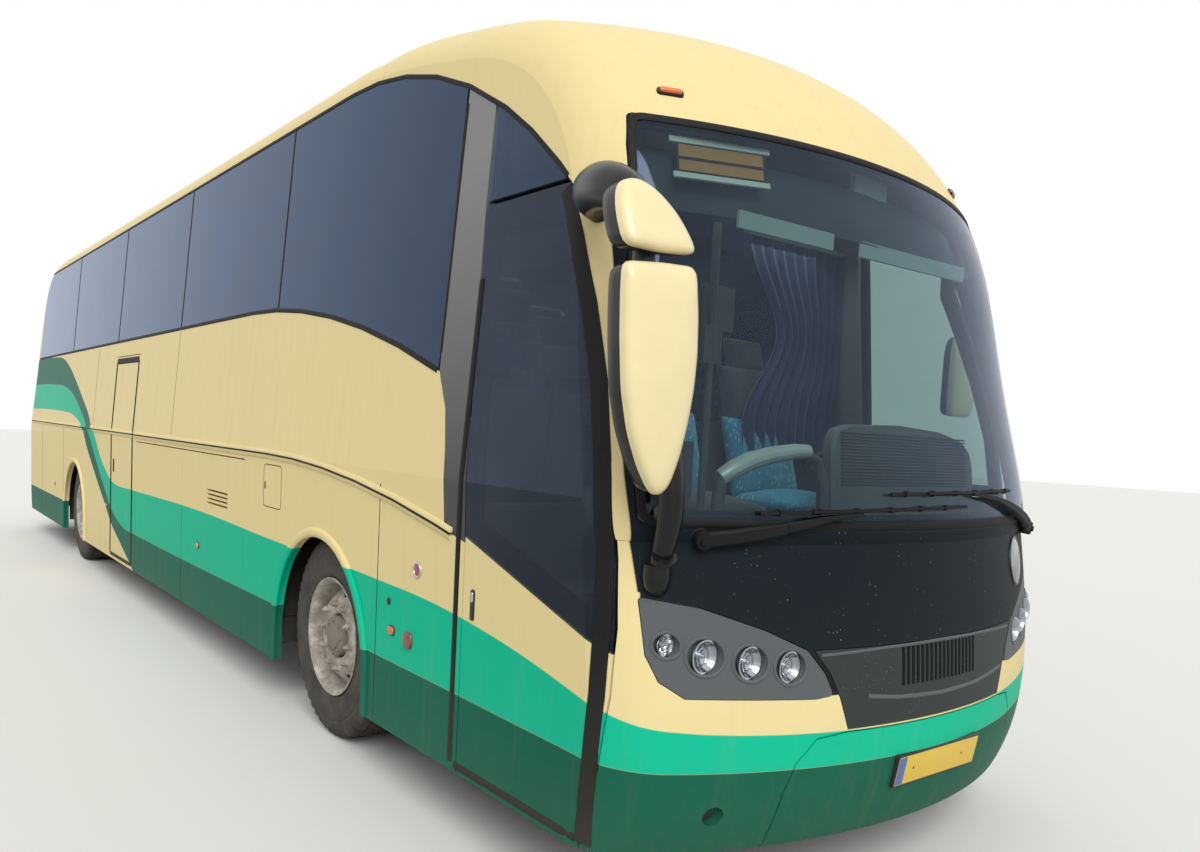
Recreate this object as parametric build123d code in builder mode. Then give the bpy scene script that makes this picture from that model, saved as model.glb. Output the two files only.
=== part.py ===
# Two-axle touring coach. Millimetres, +X to the front, +Y to the left, +Z up, origin on the road.
import math
import os

from build123d import *

os.makedirs("parts", exist_ok=True)

# Overall form
HALF_WIDTH = 1275.0
BELT_Z = 1420.0
SKIRT_Z = 270.0
ROOF_Z = 3490.0
TUMBLE = 0.075
ROOF_CROWN_R = 8000.0
CANTRAIL_R = 200.0
SLACK = 3.0
NOSE_AXIS_X = 3610.0
TAIL_AXIS_X = -4900.0
AXIS_Z = 1300.0
CORE = 350.0
NOSE_R = 2500.0
NOSE_CORNER_R = 300.0
TAIL_R = 6000.0
TAIL_CORNER_R = 250.0

# Wall build-up, measured inwards from the outer skin
WALL = 45.0
GLASS_IN = 11.0
FRAME_OUT = 12.0
GAP = 8.0

# Running gear
FRONT_AXLE_X = 3690.0
REAR_AXLE_X = -3030.0
TYRE_R = 522.0
TYRE_W = 290.0
RIM_R = 286.0
TYRE_Y = 1062.0
TWIN_Y = 732.0
PIN_Y = 860.0
PIN_R = 22.0
SPINDLE_R = 45.0
RUNNING = 5.0

# Fan sections of the nose and tail: angle, reach, arc radius, corner radius
nose_sections = [
    (0, 2720, 2500, 300),
    (12, 2671, 2500, 300),
    (24, 2697, 2550, 300),
    (35, 2745, 2700, 300),
    (45, 2680, 3200, 290),
    (55, 2508, 4200, 270),
    (65, 2346, 5500, 250),
    (77, 2235, 7000, 220),
    (90, 2208, 8000, 200),
]
tail_sections = [
    (90, 2208, 8000, 200),
    (101, 2206, 7800, 210),
    (112, 2180, 7400, 220),
    (125, 1930, 6800, 240),
    (140, 1640, 6200, 250),
    (160, 1499, 6000, 250),
    (180, 1540, 6000, 250),
]
# Plan sections of the lower body: height, front reach, rear reach
plan_sections = [
    (270, 6320, -6330),
    (450, 6380, -6400),
    (750, 6400, -6430),
    (1080, 6366, -6440),
    (1300, 6330, -6440),
]


def half_width_at(height):
    return HALF_WIDTH - TUMBLE * max(0.0, height - BELT_Z)


def fan_section(axis_x, angle, reach, arc, corner, inset):
    turn = math.radians(angle)
    plane = Plane(origin=(axis_x, 0, AXIS_Z), x_dir=(0, 1, 0), z_dir=(math.sin(turn), 0, -math.cos(turn)))
    lean = TUMBLE * math.sin(turn)
    base = HALF_WIDTH + SLACK - inset - TUMBLE * (AXIS_Z - BELT_Z)
    low = base - lean * CORE
    drop = reach - inset - (arc - math.sqrt(arc**2 - 1150.0**2))
    top = base - lean * drop
    crown = arc - inset
    drop = reach - inset - (crown - math.sqrt(crown**2 - top**2))
    top = base - lean * drop
    with BuildSketch(plane) as outline:
        with BuildLine():
            Polyline((-top, drop), (-low, CORE), (low, CORE), (top, drop))
            ThreePointArc((top, drop), (0, reach - inset), (-top, drop))
        make_face()
        fillet(outline.vertices().sort_by(Axis.Y)[-2:], corner - inset)
    return outline.sketch


def plan_section(height, front, rear, inset):
    side = HALF_WIDTH + SLACK - inset
    nose = NOSE_R - inset
    tail = TAIL_R - inset
    front_x = front - inset - (nose - math.sqrt(nose**2 - side**2))
    rear_x = rear + inset + (tail - math.sqrt(tail**2 - side**2))
    with BuildSketch(Plane.XY.offset(height)) as outline:
        with BuildLine():
            Line((front_x, side), (rear_x, side))
            ThreePointArc((rear_x, side), (rear + inset, 0), (rear_x, -side))
            Line((rear_x, -side), (front_x, -side))
            ThreePointArc((front_x, -side), (front - inset, 0), (front_x, side))
        make_face()
        fillet(outline.vertices().sort_by(Axis.X)[-2:], NOSE_CORNER_R - inset)
        fillet(outline.vertices().sort_by(Axis.X)[:2], TAIL_CORNER_R - inset)
    return outline.sketch


def coach_form(inset, foot):
    # Solid form of the coach at one inset from the skin, down to the height of its foot
    with BuildPart() as nose:
        loft(sections=[fan_section(NOSE_AXIS_X, *row, inset) for row in nose_sections])
    with BuildPart() as tail:
        loft(sections=[fan_section(TAIL_AXIS_X, *row, inset) for row in tail_sections])
    with BuildPart() as low:
        rows = [(foot, *plan_sections[0][1:])] + plan_sections[1:]
        loft(sections=[plan_section(*row, inset) for row in rows])
    with BuildPart() as core:
        with Locations(((NOSE_AXIS_X + TAIL_AXIS_X) / 2, 0, (AXIS_Z + 3700) / 2)):
            Box(NOSE_AXIS_X - TAIL_AXIS_X, 2800, 3700 - AXIS_Z)
        with Locations((NOSE_AXIS_X, 0, AXIS_Z + CORE / 2), (TAIL_AXIS_X, 0, AXIS_Z + CORE / 2)):
            Box(2 * CORE + 40, 2800, CORE + 40)
    with BuildPart() as hull:
        side = HALF_WIDTH - inset
        height = ROOF_Z - inset - (ROOF_CROWN_R - math.sqrt(ROOF_CROWN_R**2 - 1120.0**2))
        top = half_width_at(height) - inset
        with BuildSketch(Plane.YZ.offset(-7000)) as rib:
            with BuildLine():
                left = [(-top, height), (-side, BELT_Z), (-side, 100)]
                Polyline(*left, *[(-y, z) for y, z in reversed(left)])
                ThreePointArc((top, height), (0, ROOF_Z - inset), (-top, height))
            make_face()
            fillet(rib.vertices().sort_by(Axis.Y)[-2:], CANTRAIL_R - inset)
        extrude(amount=14000)
    with BuildPart() as form:
        add([nose.part, tail.part, core.part, low.part])
        add(hull.part, mode=Mode.INTERSECT)
    return form.part


def prism(points, low, high, inset=0.0):
    # Side-view outline in X and Z, swept across from Y = low to Y = high
    with BuildPart() as block:
        with BuildSketch(Plane.XZ.offset(-high)) as outline:
            with BuildLine():
                Polyline(*points, close=True)
            make_face()
            if inset:
                offset(amount=-inset, kind=Kind.INTERSECTION)
        extrude(amount=high - low)
    return block.part


def face_prism(points, low, high, radius=0.0, inset=0.0):
    # Front-view outline in Y and Z, swept along from X = low to X = high
    with BuildPart() as block:
        with BuildSketch(Plane.YZ.offset(low)) as outline:
            with BuildLine():
                Polyline(*points, close=True)
            make_face()
            if radius:
                fillet(outline.vertices(), radius)
            if inset:
                offset(amount=-inset, kind=Kind.INTERSECTION)
        extrude(amount=high - low)
    return block.part


def arc_points(start, radius, reach, steps):
    # Points of a drop that leaves a level line at start, measured along X
    points = []
    for step in range(steps + 1):
        run = reach * step / steps
        points.append((start[0] + run, start[1] - radius + math.sqrt(radius**2 - run**2)))
    return points


skin = coach_form(0.0, SKIRT_Z)
hollow = coach_form(WALL, SKIRT_Z - 70)
wall = skin - hollow
glazing = skin - coach_form(GLASS_IN, SKIRT_Z - 70)
lining = coach_form(FRAME_OUT, SKIRT_Z) - hollow

# Reach of the cutting zones, well outside the body
FAR_X = 7000
FAR_Y = 1600
FAR_Z = 3800
NEAR_Z = 100

# Side-view lines
sill_line = [(-FAR_X, 2217)] + arc_points((2400, 2250), 7400, 2650, 10)
belt_line = [(-FAR_X, BELT_Z)] + arc_points((2900, BELT_Z), 10600, 2260, 8)
top_line = [(-FAR_X, 3260)] + arc_points((3600, 3260), 2927, 2000, 14)
tail_edge = [(-6150, NEAR_Z), (-6150, BELT_Z), (-5850, 2220), (-5720, 3260), (-5720, FAR_Z)]
pillar_back = [(4810, FAR_Z), (4800, 1850), (4880, 1700), (4912, 1540), (4955, 1150), (4955, NEAR_Z)]
door_back = [(5015, FAR_Z), (5030, 2490), (5110, 1200), (5110, NEAR_Z)]
door_front = [(5600, 2470), (5690, 2250), (5790, 2000), (5875, 1740), (5935, 1490), (5980, 1240)]
door_front += [(6004, 1020), (6004, 800), (5975, 560), (5900, 280), (5870, NEAR_Z)]

side_view = [(-FAR_X, NEAR_Z), (FAR_X, NEAR_Z), (FAR_X, FAR_Z), (-FAR_X, FAR_Z)]
right_half = prism(side_view, -FAR_Y, 0)
left_half = prism(side_view, 0, FAR_Y)
middle_slab = prism(side_view, -600, 600)
roof_zone = prism(top_line + [(FAR_X, 2470), (FAR_X, FAR_Z), (-FAR_X, FAR_Z)], -FAR_Y, FAR_Y)
above_sill = prism(sill_line + [(5050, FAR_Z), (-FAR_X, FAR_Z)], -FAR_Y, FAR_Y)
below_belt = prism(belt_line + [(5160, NEAR_Z), (-FAR_X, NEAR_Z)], -FAR_Y, FAR_Y)
behind_pillar = prism(pillar_back + [(-FAR_X, NEAR_Z), (-FAR_X, FAR_Z)], -FAR_Y, FAR_Y)
behind_door = prism(door_back + [(-FAR_X, NEAR_Z), (-FAR_X, FAR_Z)], -FAR_Y, FAR_Y)
nose_zone = prism(door_front + [(FAR_X, NEAR_Z), (FAR_X, 2470)], -FAR_Y, FAR_Y)
tail_zone = prism(tail_edge + [(-FAR_X, FAR_Z), (-FAR_X, NEAR_Z)], -FAR_Y, FAR_Y)

# Front-view outlines of the glass at the nose and tail, each seated on a flange
FLANGE = 45
SEAL = 4
screen_half = [(1196, 1356), (1190, 1600), (1150, 2100), (1088, 2600), (1060, 2722)]
screen_points = screen_half + [(-y, z) for y, z in reversed(screen_half)]
screen_zone = face_prism(screen_points, 5200, FAR_X, 24)
screen_lip = face_prism(screen_points, 5200, FAR_X, 24, FLANGE)
rear_points = [(-930, 2330), (930, 2330), (900, 3040), (-900, 3040)]
rear_zone = face_prism(rear_points, -FAR_X, -5500, 90)
rear_lip = face_prism(rear_points, -FAR_X, -5500, 90, FLANGE)

with BuildPart() as windscreen:
    add(face_prism(screen_points, 5200, FAR_X, 24, SEAL))
    add(glazing, mode=Mode.INTERSECT)
windscreen.part.label = "windscreen"
export_step(windscreen.part, "parts/windscreen.step")

with BuildPart() as roof_shell:
    add(roof_zone)
    add(screen_zone, mode=Mode.SUBTRACT)
    add(wall, mode=Mode.INTERSECT)
roof_shell.part.label = "roof_shell"
export_step(roof_shell.part, "parts/roof_shell.step")

# Side glass band: window joints, the pane over the front door and the driver's pane
window_joints = [-3520, -1290, 800, 2830]
over_door = [(5044, 2500), (5590, 2500), (5590, 3300), (5034, 3300)]
driver_pane = [(5052, 2440), (5110, 1422), (5900, 1422), (5860, 1720), (5775, 1980), (5670, 2240)]
driver_pane += [(5590, 2440), (5590, 3300), (5038, 3300)]
driver_light = [(5095, 2440), (5140, 1480), (5830, 1480), (5800, 1700), (5715, 1960), (5610, 2220)]
driver_light += [(5530, 2400), (5530, 2580), (5070, 2860)]
light_outline = [(-5655, 2284), (2400, 2312), (3200, 2270), (4000, 2120), (4725, 1925)]
light_outline += [(4725, 2962), (4200, 3110), (3600, 3200), (-5655, 3200)]
with BuildPart() as band:
    add(above_sill)
    add(behind_pillar, mode=Mode.INTERSECT)
    add(tail_zone, mode=Mode.SUBTRACT)
    add(prism(over_door, -FAR_Y, 0))
    add(prism(driver_pane, 0, FAR_Y))
    add(roof_zone, mode=Mode.SUBTRACT)
    add(middle_slab, mode=Mode.SUBTRACT)

# Glass panes with a joint between each pair, and the rear window
POST_W = 130
JOINT_W = 10
with BuildPart() as cabin_glass:
    add(band.part)
    with Locations(*[(joint, 0, 2750) for joint in window_joints]):
        Box(JOINT_W, 2 * FAR_Y, 1400, mode=Mode.SUBTRACT)
    with Locations((4906, 0, 2500)):
        Box(232, 2 * FAR_Y, 3000, mode=Mode.SUBTRACT)
    add(face_prism(rear_points, -FAR_X, -5500, 90, SEAL))
    add(glazing, mode=Mode.INTERSECT)
cabin_glass.part.label = "cabin_glass"
export_step(cabin_glass.part, "parts/cabin_glass.step")

with BuildPart() as light_holes:
    add(prism(light_outline, -FAR_Y, FAR_Y))
    with Locations(*[(joint, 0, 2700) for joint in window_joints]):
        Box(POST_W, 2 * FAR_Y, 1700, mode=Mode.SUBTRACT)
    add(prism(over_door, -FAR_Y, 0, 60))
    add(prism(driver_light, 0, FAR_Y))
with BuildPart() as window_frames:
    add(band.part)
    add(light_holes.part, mode=Mode.SUBTRACT)
    add(lining, mode=Mode.INTERSECT)
window_frames.part.label = "window_frames"
export_step(window_frames.part, "parts/window_frames.step")

with BuildPart() as pillar_trims:
    add(behind_door)
    add(behind_pillar, mode=Mode.SUBTRACT)
    add(below_belt, mode=Mode.SUBTRACT)
    add(roof_zone, mode=Mode.SUBTRACT)
    add(wall, mode=Mode.INTERSECT)
pillar_trims.part.label = "pillar_trims"
export_step(pillar_trims.part, "parts/pillar_trims.step")

# Upper side panels between the belt and the sill
MID_DOOR_X = -822
MID_DOOR_W = 900
MID_DOOR_TOP = 2100
mid_low = MID_DOOR_X - MID_DOOR_W / 2
mid_high = MID_DOOR_X + MID_DOOR_W / 2
mid_door_points = [(mid_low, NEAR_Z), (mid_high, NEAR_Z), (mid_high, MID_DOOR_TOP), (mid_low, MID_DOOR_TOP)]
mid_door_hole = prism(mid_door_points, -FAR_Y, 0)
with BuildPart() as side_panels:
    add(behind_pillar)
    add(above_sill, mode=Mode.SUBTRACT)
    add(below_belt, mode=Mode.SUBTRACT)
    add(tail_zone, mode=Mode.SUBTRACT)
    add(middle_slab, mode=Mode.SUBTRACT)
    add(mid_door_hole, mode=Mode.SUBTRACT)
    add(wall, mode=Mode.INTERSECT)
side_panels.part.label = "side_panels"
export_step(side_panels.part, "parts/side_panels.step")

# Wheel arches: centre along X, half-width, crown height
arch_rows = [(FRONT_AXLE_X - 30, 590, 1045), (REAR_AXLE_X - 20, 580, 1050)]
with BuildPart() as arches:
    for centre, half, crown in arch_rows:
        with BuildSketch(Plane.XZ.offset(-FAR_Y)):
            with BuildLine():
                Line((centre + half, crown - half), (centre + half, NEAR_Z))
                Line((centre + half, NEAR_Z), (centre - half, NEAR_Z))
                Line((centre - half, NEAR_Z), (centre - half, crown - half))
                ThreePointArc((centre - half, crown - half), (centre, crown), (centre + half, crown - half))
            make_face()
        extrude(amount=2 * FAR_Y)

# Luggage flaps: side, rear edge, front edge
flap_top = 1370.0
flap_rows = {
    "flap_right_front": (right_half, 1136, 2500),
    "flap_right_rear": (right_half, -280, 1136),
    "flap_left_front": (left_half, 1136, 2500),
    "flap_left_rear": (left_half, -280, 1136),
}


def flap_outline(start, end, gap_rear, gap_front, gap_top):
    top = flap_top - gap_top
    left = start + gap_rear
    right = end - gap_front
    return [(left, NEAR_Z), (right, NEAR_Z), (right, top), (left, top)]


# Lower sides, with the openings for doors and luggage flaps
with BuildPart() as flap_holes:
    add(prism(flap_outline(-280, 2500, 0, 0, 0), -FAR_Y, FAR_Y))
with BuildPart() as right_ahead:
    add(right_half)
    add(behind_door, mode=Mode.SUBTRACT)
with BuildPart() as skirts:
    add(below_belt)
    add(tail_zone, mode=Mode.SUBTRACT)
    add(nose_zone, mode=Mode.SUBTRACT)
    add(right_ahead.part, mode=Mode.SUBTRACT)
    add(middle_slab, mode=Mode.SUBTRACT)
    add(mid_door_hole, mode=Mode.SUBTRACT)
    add(arches.part, mode=Mode.SUBTRACT)
    add(flap_holes.part, mode=Mode.SUBTRACT)
    add(wall, mode=Mode.INTERSECT)
skirts.part.label = "skirts"
export_step(skirts.part, "parts/skirts.step")

for name, (half, start, end) in flap_rows.items():
    with BuildPart() as flap:
        add(prism(flap_outline(start, end, GAP, GAP / 2, GAP), -FAR_Y, FAR_Y))
        add(half, mode=Mode.INTERSECT)
        if name == "flap_right_front":
            # Four-slot breather
            with Locations(*[(1960, -1250, 1042 + 28 * row) for row in range(4)]):
                Box(440, 200, 13, mode=Mode.SUBTRACT)
        add(wall, mode=Mode.INTERSECT)
    flap.part.label = name
    export_step(flap.part, "parts/" + name + ".step")

with BuildPart() as mid_door:
    add(prism(mid_door_points, -FAR_Y, -600, GAP))
    add(wall, mode=Mode.INTERSECT)
mid_door.part.label = "mid_door"
export_step(mid_door.part, "parts/mid_door.step")

# Front door
door_points = [(5110, NEAR_Z), (5110, 1200), (5030, 2490), (5591, 2490)] + door_front[1:]
door_light = [(5175, 1275), (5900, 1052), (5905, 1240), (5860, 1500), (5805, 1715), (5720, 1975)]
door_light += [(5620, 2225), (5555, 2400), (5105, 2400)]
door_zone = prism(door_points, -FAR_Y, -600, GAP)
door_hole = prism(door_light, -FAR_Y, -600)
with BuildPart() as door_upper:
    add(prism([(5100, 1214), (6100, 905), (6100, 3000), (4900, 3000), (4900, 1276)], -FAR_Y, -600))
    add(door_zone, mode=Mode.INTERSECT)
with BuildPart() as door_frame:
    add(door_upper.part)
    add(door_hole, mode=Mode.SUBTRACT)
    add(lining, mode=Mode.INTERSECT)
with BuildPart() as front_door:
    add(door_zone)
    add(door_upper.part, mode=Mode.SUBTRACT)
    add(door_hole, mode=Mode.SUBTRACT)
    add(wall, mode=Mode.INTERSECT)
    add(door_frame.part)
front_door.part.label = "front_door"
export_step(front_door.part, "parts/front_door.step")
with BuildPart() as front_door_glass:
    add(door_upper.part)
    add(glazing, mode=Mode.INTERSECT)
front_door_glass.part.label = "front_door_glass"
export_step(front_door_glass.part, "parts/front_door_glass.step")

# Nose outlines: lamp pods, centre panel, the foot of the dark mask and the seam round the keel panel
pod_points = [(-1192, 1130), (-1011, 1096), (-803, 1024), (-652, 955), (-585, 875), (-548, 798)]
pod_points += [(-620, 790), (-1069, 808), (-1147, 862), (-1180, 945)]
pod_mirror = [(-y, z) for y, z in pod_points]
grille_half = [(632, 955), (566, 872), (526, 790), (485, 677)]
grille_points = grille_half + [(-y, z) for y, z in reversed(grille_half)]
low_half = [(1500, NEAR_Z), (1500, 1145), (1200, 1145), (640, 958)]
low_points = low_half + [(-y, z) for y, z in reversed(low_half)]
keel_half = [(727, NEAR_Z), (727, 339), (717, 469), (683, 580), (611, 659), (490, 672)]
keel_points = keel_half + [(-y, z) for y, z in reversed(keel_half)]
SEAM_W = 6
NOSE_BACK = 5600
low_zone = face_prism(low_points, 5000, FAR_X)
with BuildPart() as pod_zone:
    add(face_prism(pod_points, NOSE_BACK, FAR_X, 14))
    add(face_prism(pod_mirror, NOSE_BACK, FAR_X, 14))
with BuildPart() as seam:
    add(face_prism(keel_points, NOSE_BACK, FAR_X))
    add(face_prism(keel_points, NOSE_BACK - 100, FAR_X + 100, 0, SEAM_W), mode=Mode.SUBTRACT)

# Dark mask round the windscreen, with the flange that the glass is bonded to
with BuildPart() as screen_flange:
    add(screen_zone)
    add(screen_lip, mode=Mode.SUBTRACT)
    add(nose_zone + roof_zone, mode=Mode.INTERSECT)
    add(lining, mode=Mode.INTERSECT)
with BuildPart() as front_mask:
    add(nose_zone)
    add(low_zone, mode=Mode.SUBTRACT)
    add(screen_zone, mode=Mode.SUBTRACT)
    add(pod_zone.part, mode=Mode.SUBTRACT)
    add(wall, mode=Mode.INTERSECT)
    add(screen_flange.part)
front_mask.part.label = "front_mask"
export_step(front_mask.part, "parts/front_mask.step")

TOW_Y = 940
TOW_Z = 410
with BuildPart() as front_bumper:
    add(low_zone)
    add(nose_zone, mode=Mode.INTERSECT)
    add(pod_zone.part, mode=Mode.SUBTRACT)
    add(face_prism(grille_points, NOSE_BACK, FAR_X), mode=Mode.SUBTRACT)
    add(seam.part, mode=Mode.SUBTRACT)
    with Locations((6150, -TOW_Y, TOW_Z), (6150, TOW_Y, TOW_Z)):
        Cylinder(radius=34, height=500, rotation=(0, 90, 0), mode=Mode.SUBTRACT)
    add(wall, mode=Mode.INTERSECT)
front_bumper.part.label = "front_bumper"
export_step(front_bumper.part, "parts/front_bumper.step")

# Centre panel with a slatted opening
SLAT_W = 9
SLAT_PITCH = 80 / 3
with BuildPart() as grille_panel:
    add(face_prism(grille_points, NOSE_BACK, FAR_X, 0, 3))
    with Locations(*[(6300, SLAT_PITCH * (slot - 8.5), 873) for slot in range(18)]):
        Box(600, SLAT_PITCH - SLAT_W, 135, mode=Mode.SUBTRACT)
    add(wall, mode=Mode.INTERSECT)
grille_panel.part.label = "grille_panel"
export_step(grille_panel.part, "parts/grille_panel.step")

# Round lamps: across, height, recess radius, skin position along X
lamp_rows = [(1120, 978, 38, 6112), (1004, 942, 58, 6174), (857, 920, 57, 6234), (718, 902, 55, 6283)]
RECESS = 30
with BuildPart() as headlamp_pods:
    add(face_prism(pod_points, NOSE_BACK, FAR_X, 14, 3))
    add(face_prism(pod_mirror, NOSE_BACK, FAR_X, 14, 3))
    add(nose_zone, mode=Mode.INTERSECT)
    for across, height, radius, skin_x in lamp_rows:
        with Locations((skin_x - RECESS + 200, -across, height), (skin_x - RECESS + 200, across, height)):
            Cylinder(radius=radius, height=400, rotation=(0, 90, 0), mode=Mode.SUBTRACT)
    add(wall, mode=Mode.INTERSECT)
headlamp_pods.part.label = "headlamp_pods"
export_step(headlamp_pods.part, "parts/headlamp_pods.step")
with BuildPart() as headlamps:
    for across, height, radius, skin_x in lamp_rows:
        with Locations((skin_x - 16, -across, height), (skin_x - 16, across, height)):
            Cylinder(radius=radius - 5, height=26, rotation=(0, 90, 0))
headlamps.part.label = "headlamps"
export_step(headlamps.part, "parts/headlamps.step")

# Tail
TAIL_LAMP_Y = 1085
TAIL_LAMP_W = 130
lid_points = [(-930, 780), (930, 780), (930, 1800), (-930, 1800)]
tail_lamp_rows = [(830, 1330), (2420, 2600)]
with BuildPart() as tail_lamp_holes:
    for low, high in tail_lamp_rows:
        with Locations((-6500, TAIL_LAMP_Y, (low + high) / 2), (-6500, -TAIL_LAMP_Y, (low + high) / 2)):
            Box(1000, TAIL_LAMP_W, high - low)
with BuildPart() as rear_flange:
    add(rear_zone)
    add(rear_lip, mode=Mode.SUBTRACT)
    add(lining, mode=Mode.INTERSECT)
with BuildPart() as rear_panel:
    add(tail_zone)
    add(roof_zone, mode=Mode.SUBTRACT)
    add(rear_zone, mode=Mode.SUBTRACT)
    add(face_prism(lid_points, -FAR_X, -5500), mode=Mode.SUBTRACT)
    add(tail_lamp_holes.part, mode=Mode.SUBTRACT)
    add(wall, mode=Mode.INTERSECT)
    add(rear_flange.part)
rear_panel.part.label = "rear_panel"
export_step(rear_panel.part, "parts/rear_panel.step")
with BuildPart() as engine_lid:
    add(face_prism(lid_points, -FAR_X, -5500, 0, GAP))
    with Locations(*[(-6450, 0, 900 + 50 * row) for row in range(9)]):
        Box(300, 1300, 18, mode=Mode.SUBTRACT)
    add(wall, mode=Mode.INTERSECT)
engine_lid.part.label = "engine_lid"
export_step(engine_lid.part, "parts/engine_lid.step")
with BuildPart() as tail_lamps:
    for low, high in tail_lamp_rows:
        with Locations((-6503, TAIL_LAMP_Y, (low + high) / 2), (-6503, -TAIL_LAMP_Y, (low + high) / 2)):
            Box(1000, TAIL_LAMP_W - 6, high - low - 6)
    add(wall, mode=Mode.INTERSECT)
tail_lamps.part.label = "tail_lamps"
export_step(tail_lamps.part, "parts/tail_lamps.step")

# High deck, cab floor, and the side walls of the wheel boxes
FLOOR_Z = 1300.0
FLOOR_T = 50.0
CAB_Z = 950.0
HOLD_Z = 400.0
SHEET = 24.0
TREAD_T = 30.0
SIDE_CLEAR = 60.0
RAIL_Y = 430.0
inner_half = HALF_WIDTH - SIDE_CLEAR
FRONT_STEP_X = 5480
with BuildPart() as floor_deck:
    with Locations((-650, 0, FLOOR_Z - FLOOR_T / 2)):
        Box(10900, 2 * inner_half, FLOOR_T)
    with Locations((5270, 0, CAB_Z - FLOOR_T / 2)):
        Box(1200, 2 * inner_half, FLOOR_T)
    with Locations((5990, 0, CAB_Z - FLOOR_T / 2)):
        Box(300, 1900, FLOOR_T)
    with Locations((4770, 0, (CAB_Z + FLOOR_Z) / 2 - FLOOR_T / 2)):
        Box(60, 2 * inner_half, FLOOR_Z - CAB_Z + FLOOR_T)
    for axle_x in (FRONT_AXLE_X, REAR_AXLE_X):
        with Locations((axle_x, -530, 1125), (axle_x, 530, 1125)):
            Box(1300, 20, 300)
    # Stairwells by the front and middle doors
    with Locations((FRONT_STEP_X, -inner_half + 170, CAB_Z)):
        Box(700, 800, 200, mode=Mode.SUBTRACT)
    with Locations((MID_DOOR_X, -inner_half + 350, FLOOR_Z)):
        Box(860, 701, 200, mode=Mode.SUBTRACT)
floor_deck.part.label = "floor_deck"
export_step(floor_deck.part, "parts/floor_deck.step")

# Steps: treads, risers and the two side sheets of each well
front_treads = [(400, 0), (600, 190), (780, 380)]
mid_treads = [(400, 0), (700, 190), (1000, 380)]
with BuildPart() as steps:
    for centre, length, treads, top in (
        (FRONT_STEP_X, 690, front_treads, CAB_Z),
        (MID_DOOR_X, 850, mid_treads, FLOOR_Z),
    ):
        heights = [height for height, reach in treads] + [top]
        for (height, reach), above in zip(treads, heights[1:]):
            with Locations((centre, -inner_half + 150 + reach, height - TREAD_T / 2)):
                Box(length, 300, TREAD_T)
            riser = above - height - (TREAD_T if above != top else FLOOR_T)
            with Locations((centre, -inner_half + 300 + reach - SHEET / 2, height + riser / 2)):
                Box(length, SHEET, riser)
        with Locations(
            (centre - length / 2 + SHEET / 2, -inner_half + 340, (400 + top - FLOOR_T) / 2 - 15),
            (centre + length / 2 - SHEET / 2, -inner_half + 340, (400 + top - FLOOR_T) / 2 - 15),
        ):
            Box(SHEET, 680, top - FLOOR_T - 400 + TREAD_T)
steps.part.label = "steps"
export_step(steps.part, "parts/steps.step")

# Luggage hold between the axles
HOLD_BACK = -280
HOLD_FRONT = 2500
with BuildPart() as luggage_hold:
    with Locations(((HOLD_BACK + HOLD_FRONT) / 2, 0, HOLD_Z - TREAD_T / 2)):
        Box(HOLD_FRONT - HOLD_BACK + SHEET, 2 * inner_half, TREAD_T)
    with Locations((HOLD_BACK, 0, 825), (HOLD_FRONT, 0, 825)):
        Box(SHEET, 2 * inner_half, 2 * (FLOOR_Z - FLOOR_T - 825))
    # Room for the chassis rails through the bulkheads
    with Locations((0, -RAIL_Y, 720), (0, RAIL_Y, 720)):
        Box(12400, 100, 230, mode=Mode.SUBTRACT)
luggage_hold.part.label = "luggage_hold"
export_step(luggage_hold.part, "parts/luggage_hold.step")

# Chassis rails, crossmembers, outriggers, and posts up to the high deck
RAIL_Z = 720.0
RAIL_H = 200.0
RAIL_W = 80.0
with BuildPart() as chassis_frame:
    with Locations((-50, -RAIL_Y, RAIL_Z), (-50, RAIL_Y, RAIL_Z)):
        Box(11900, RAIL_W, RAIL_H)
    for station in (-5960, -3850, -2400, -1500, 3000, 4400, 5700):
        with Locations((station, 0, RAIL_Z)):
            Box(80, 2 * RAIL_Y, 140)
    for station in (-4400, -1500, 3000, 4400):
        with Locations((station, -RAIL_Y - 400, RAIL_Z), (station, RAIL_Y + 400, RAIL_Z)):
            Box(60, 740, 90)
    post_height = FLOOR_Z - FLOOR_T - RAIL_Z
    for station in (-4400, -2400, -1500, 3000, 4400):
        for side in (-RAIL_Y, RAIL_Y):
            with Locations((station, side, RAIL_Z + post_height / 2)):
                Box(80, 60, post_height)
chassis_frame.part.label = "chassis_frame"
export_step(chassis_frame.part, "parts/chassis_frame.step")

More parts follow.
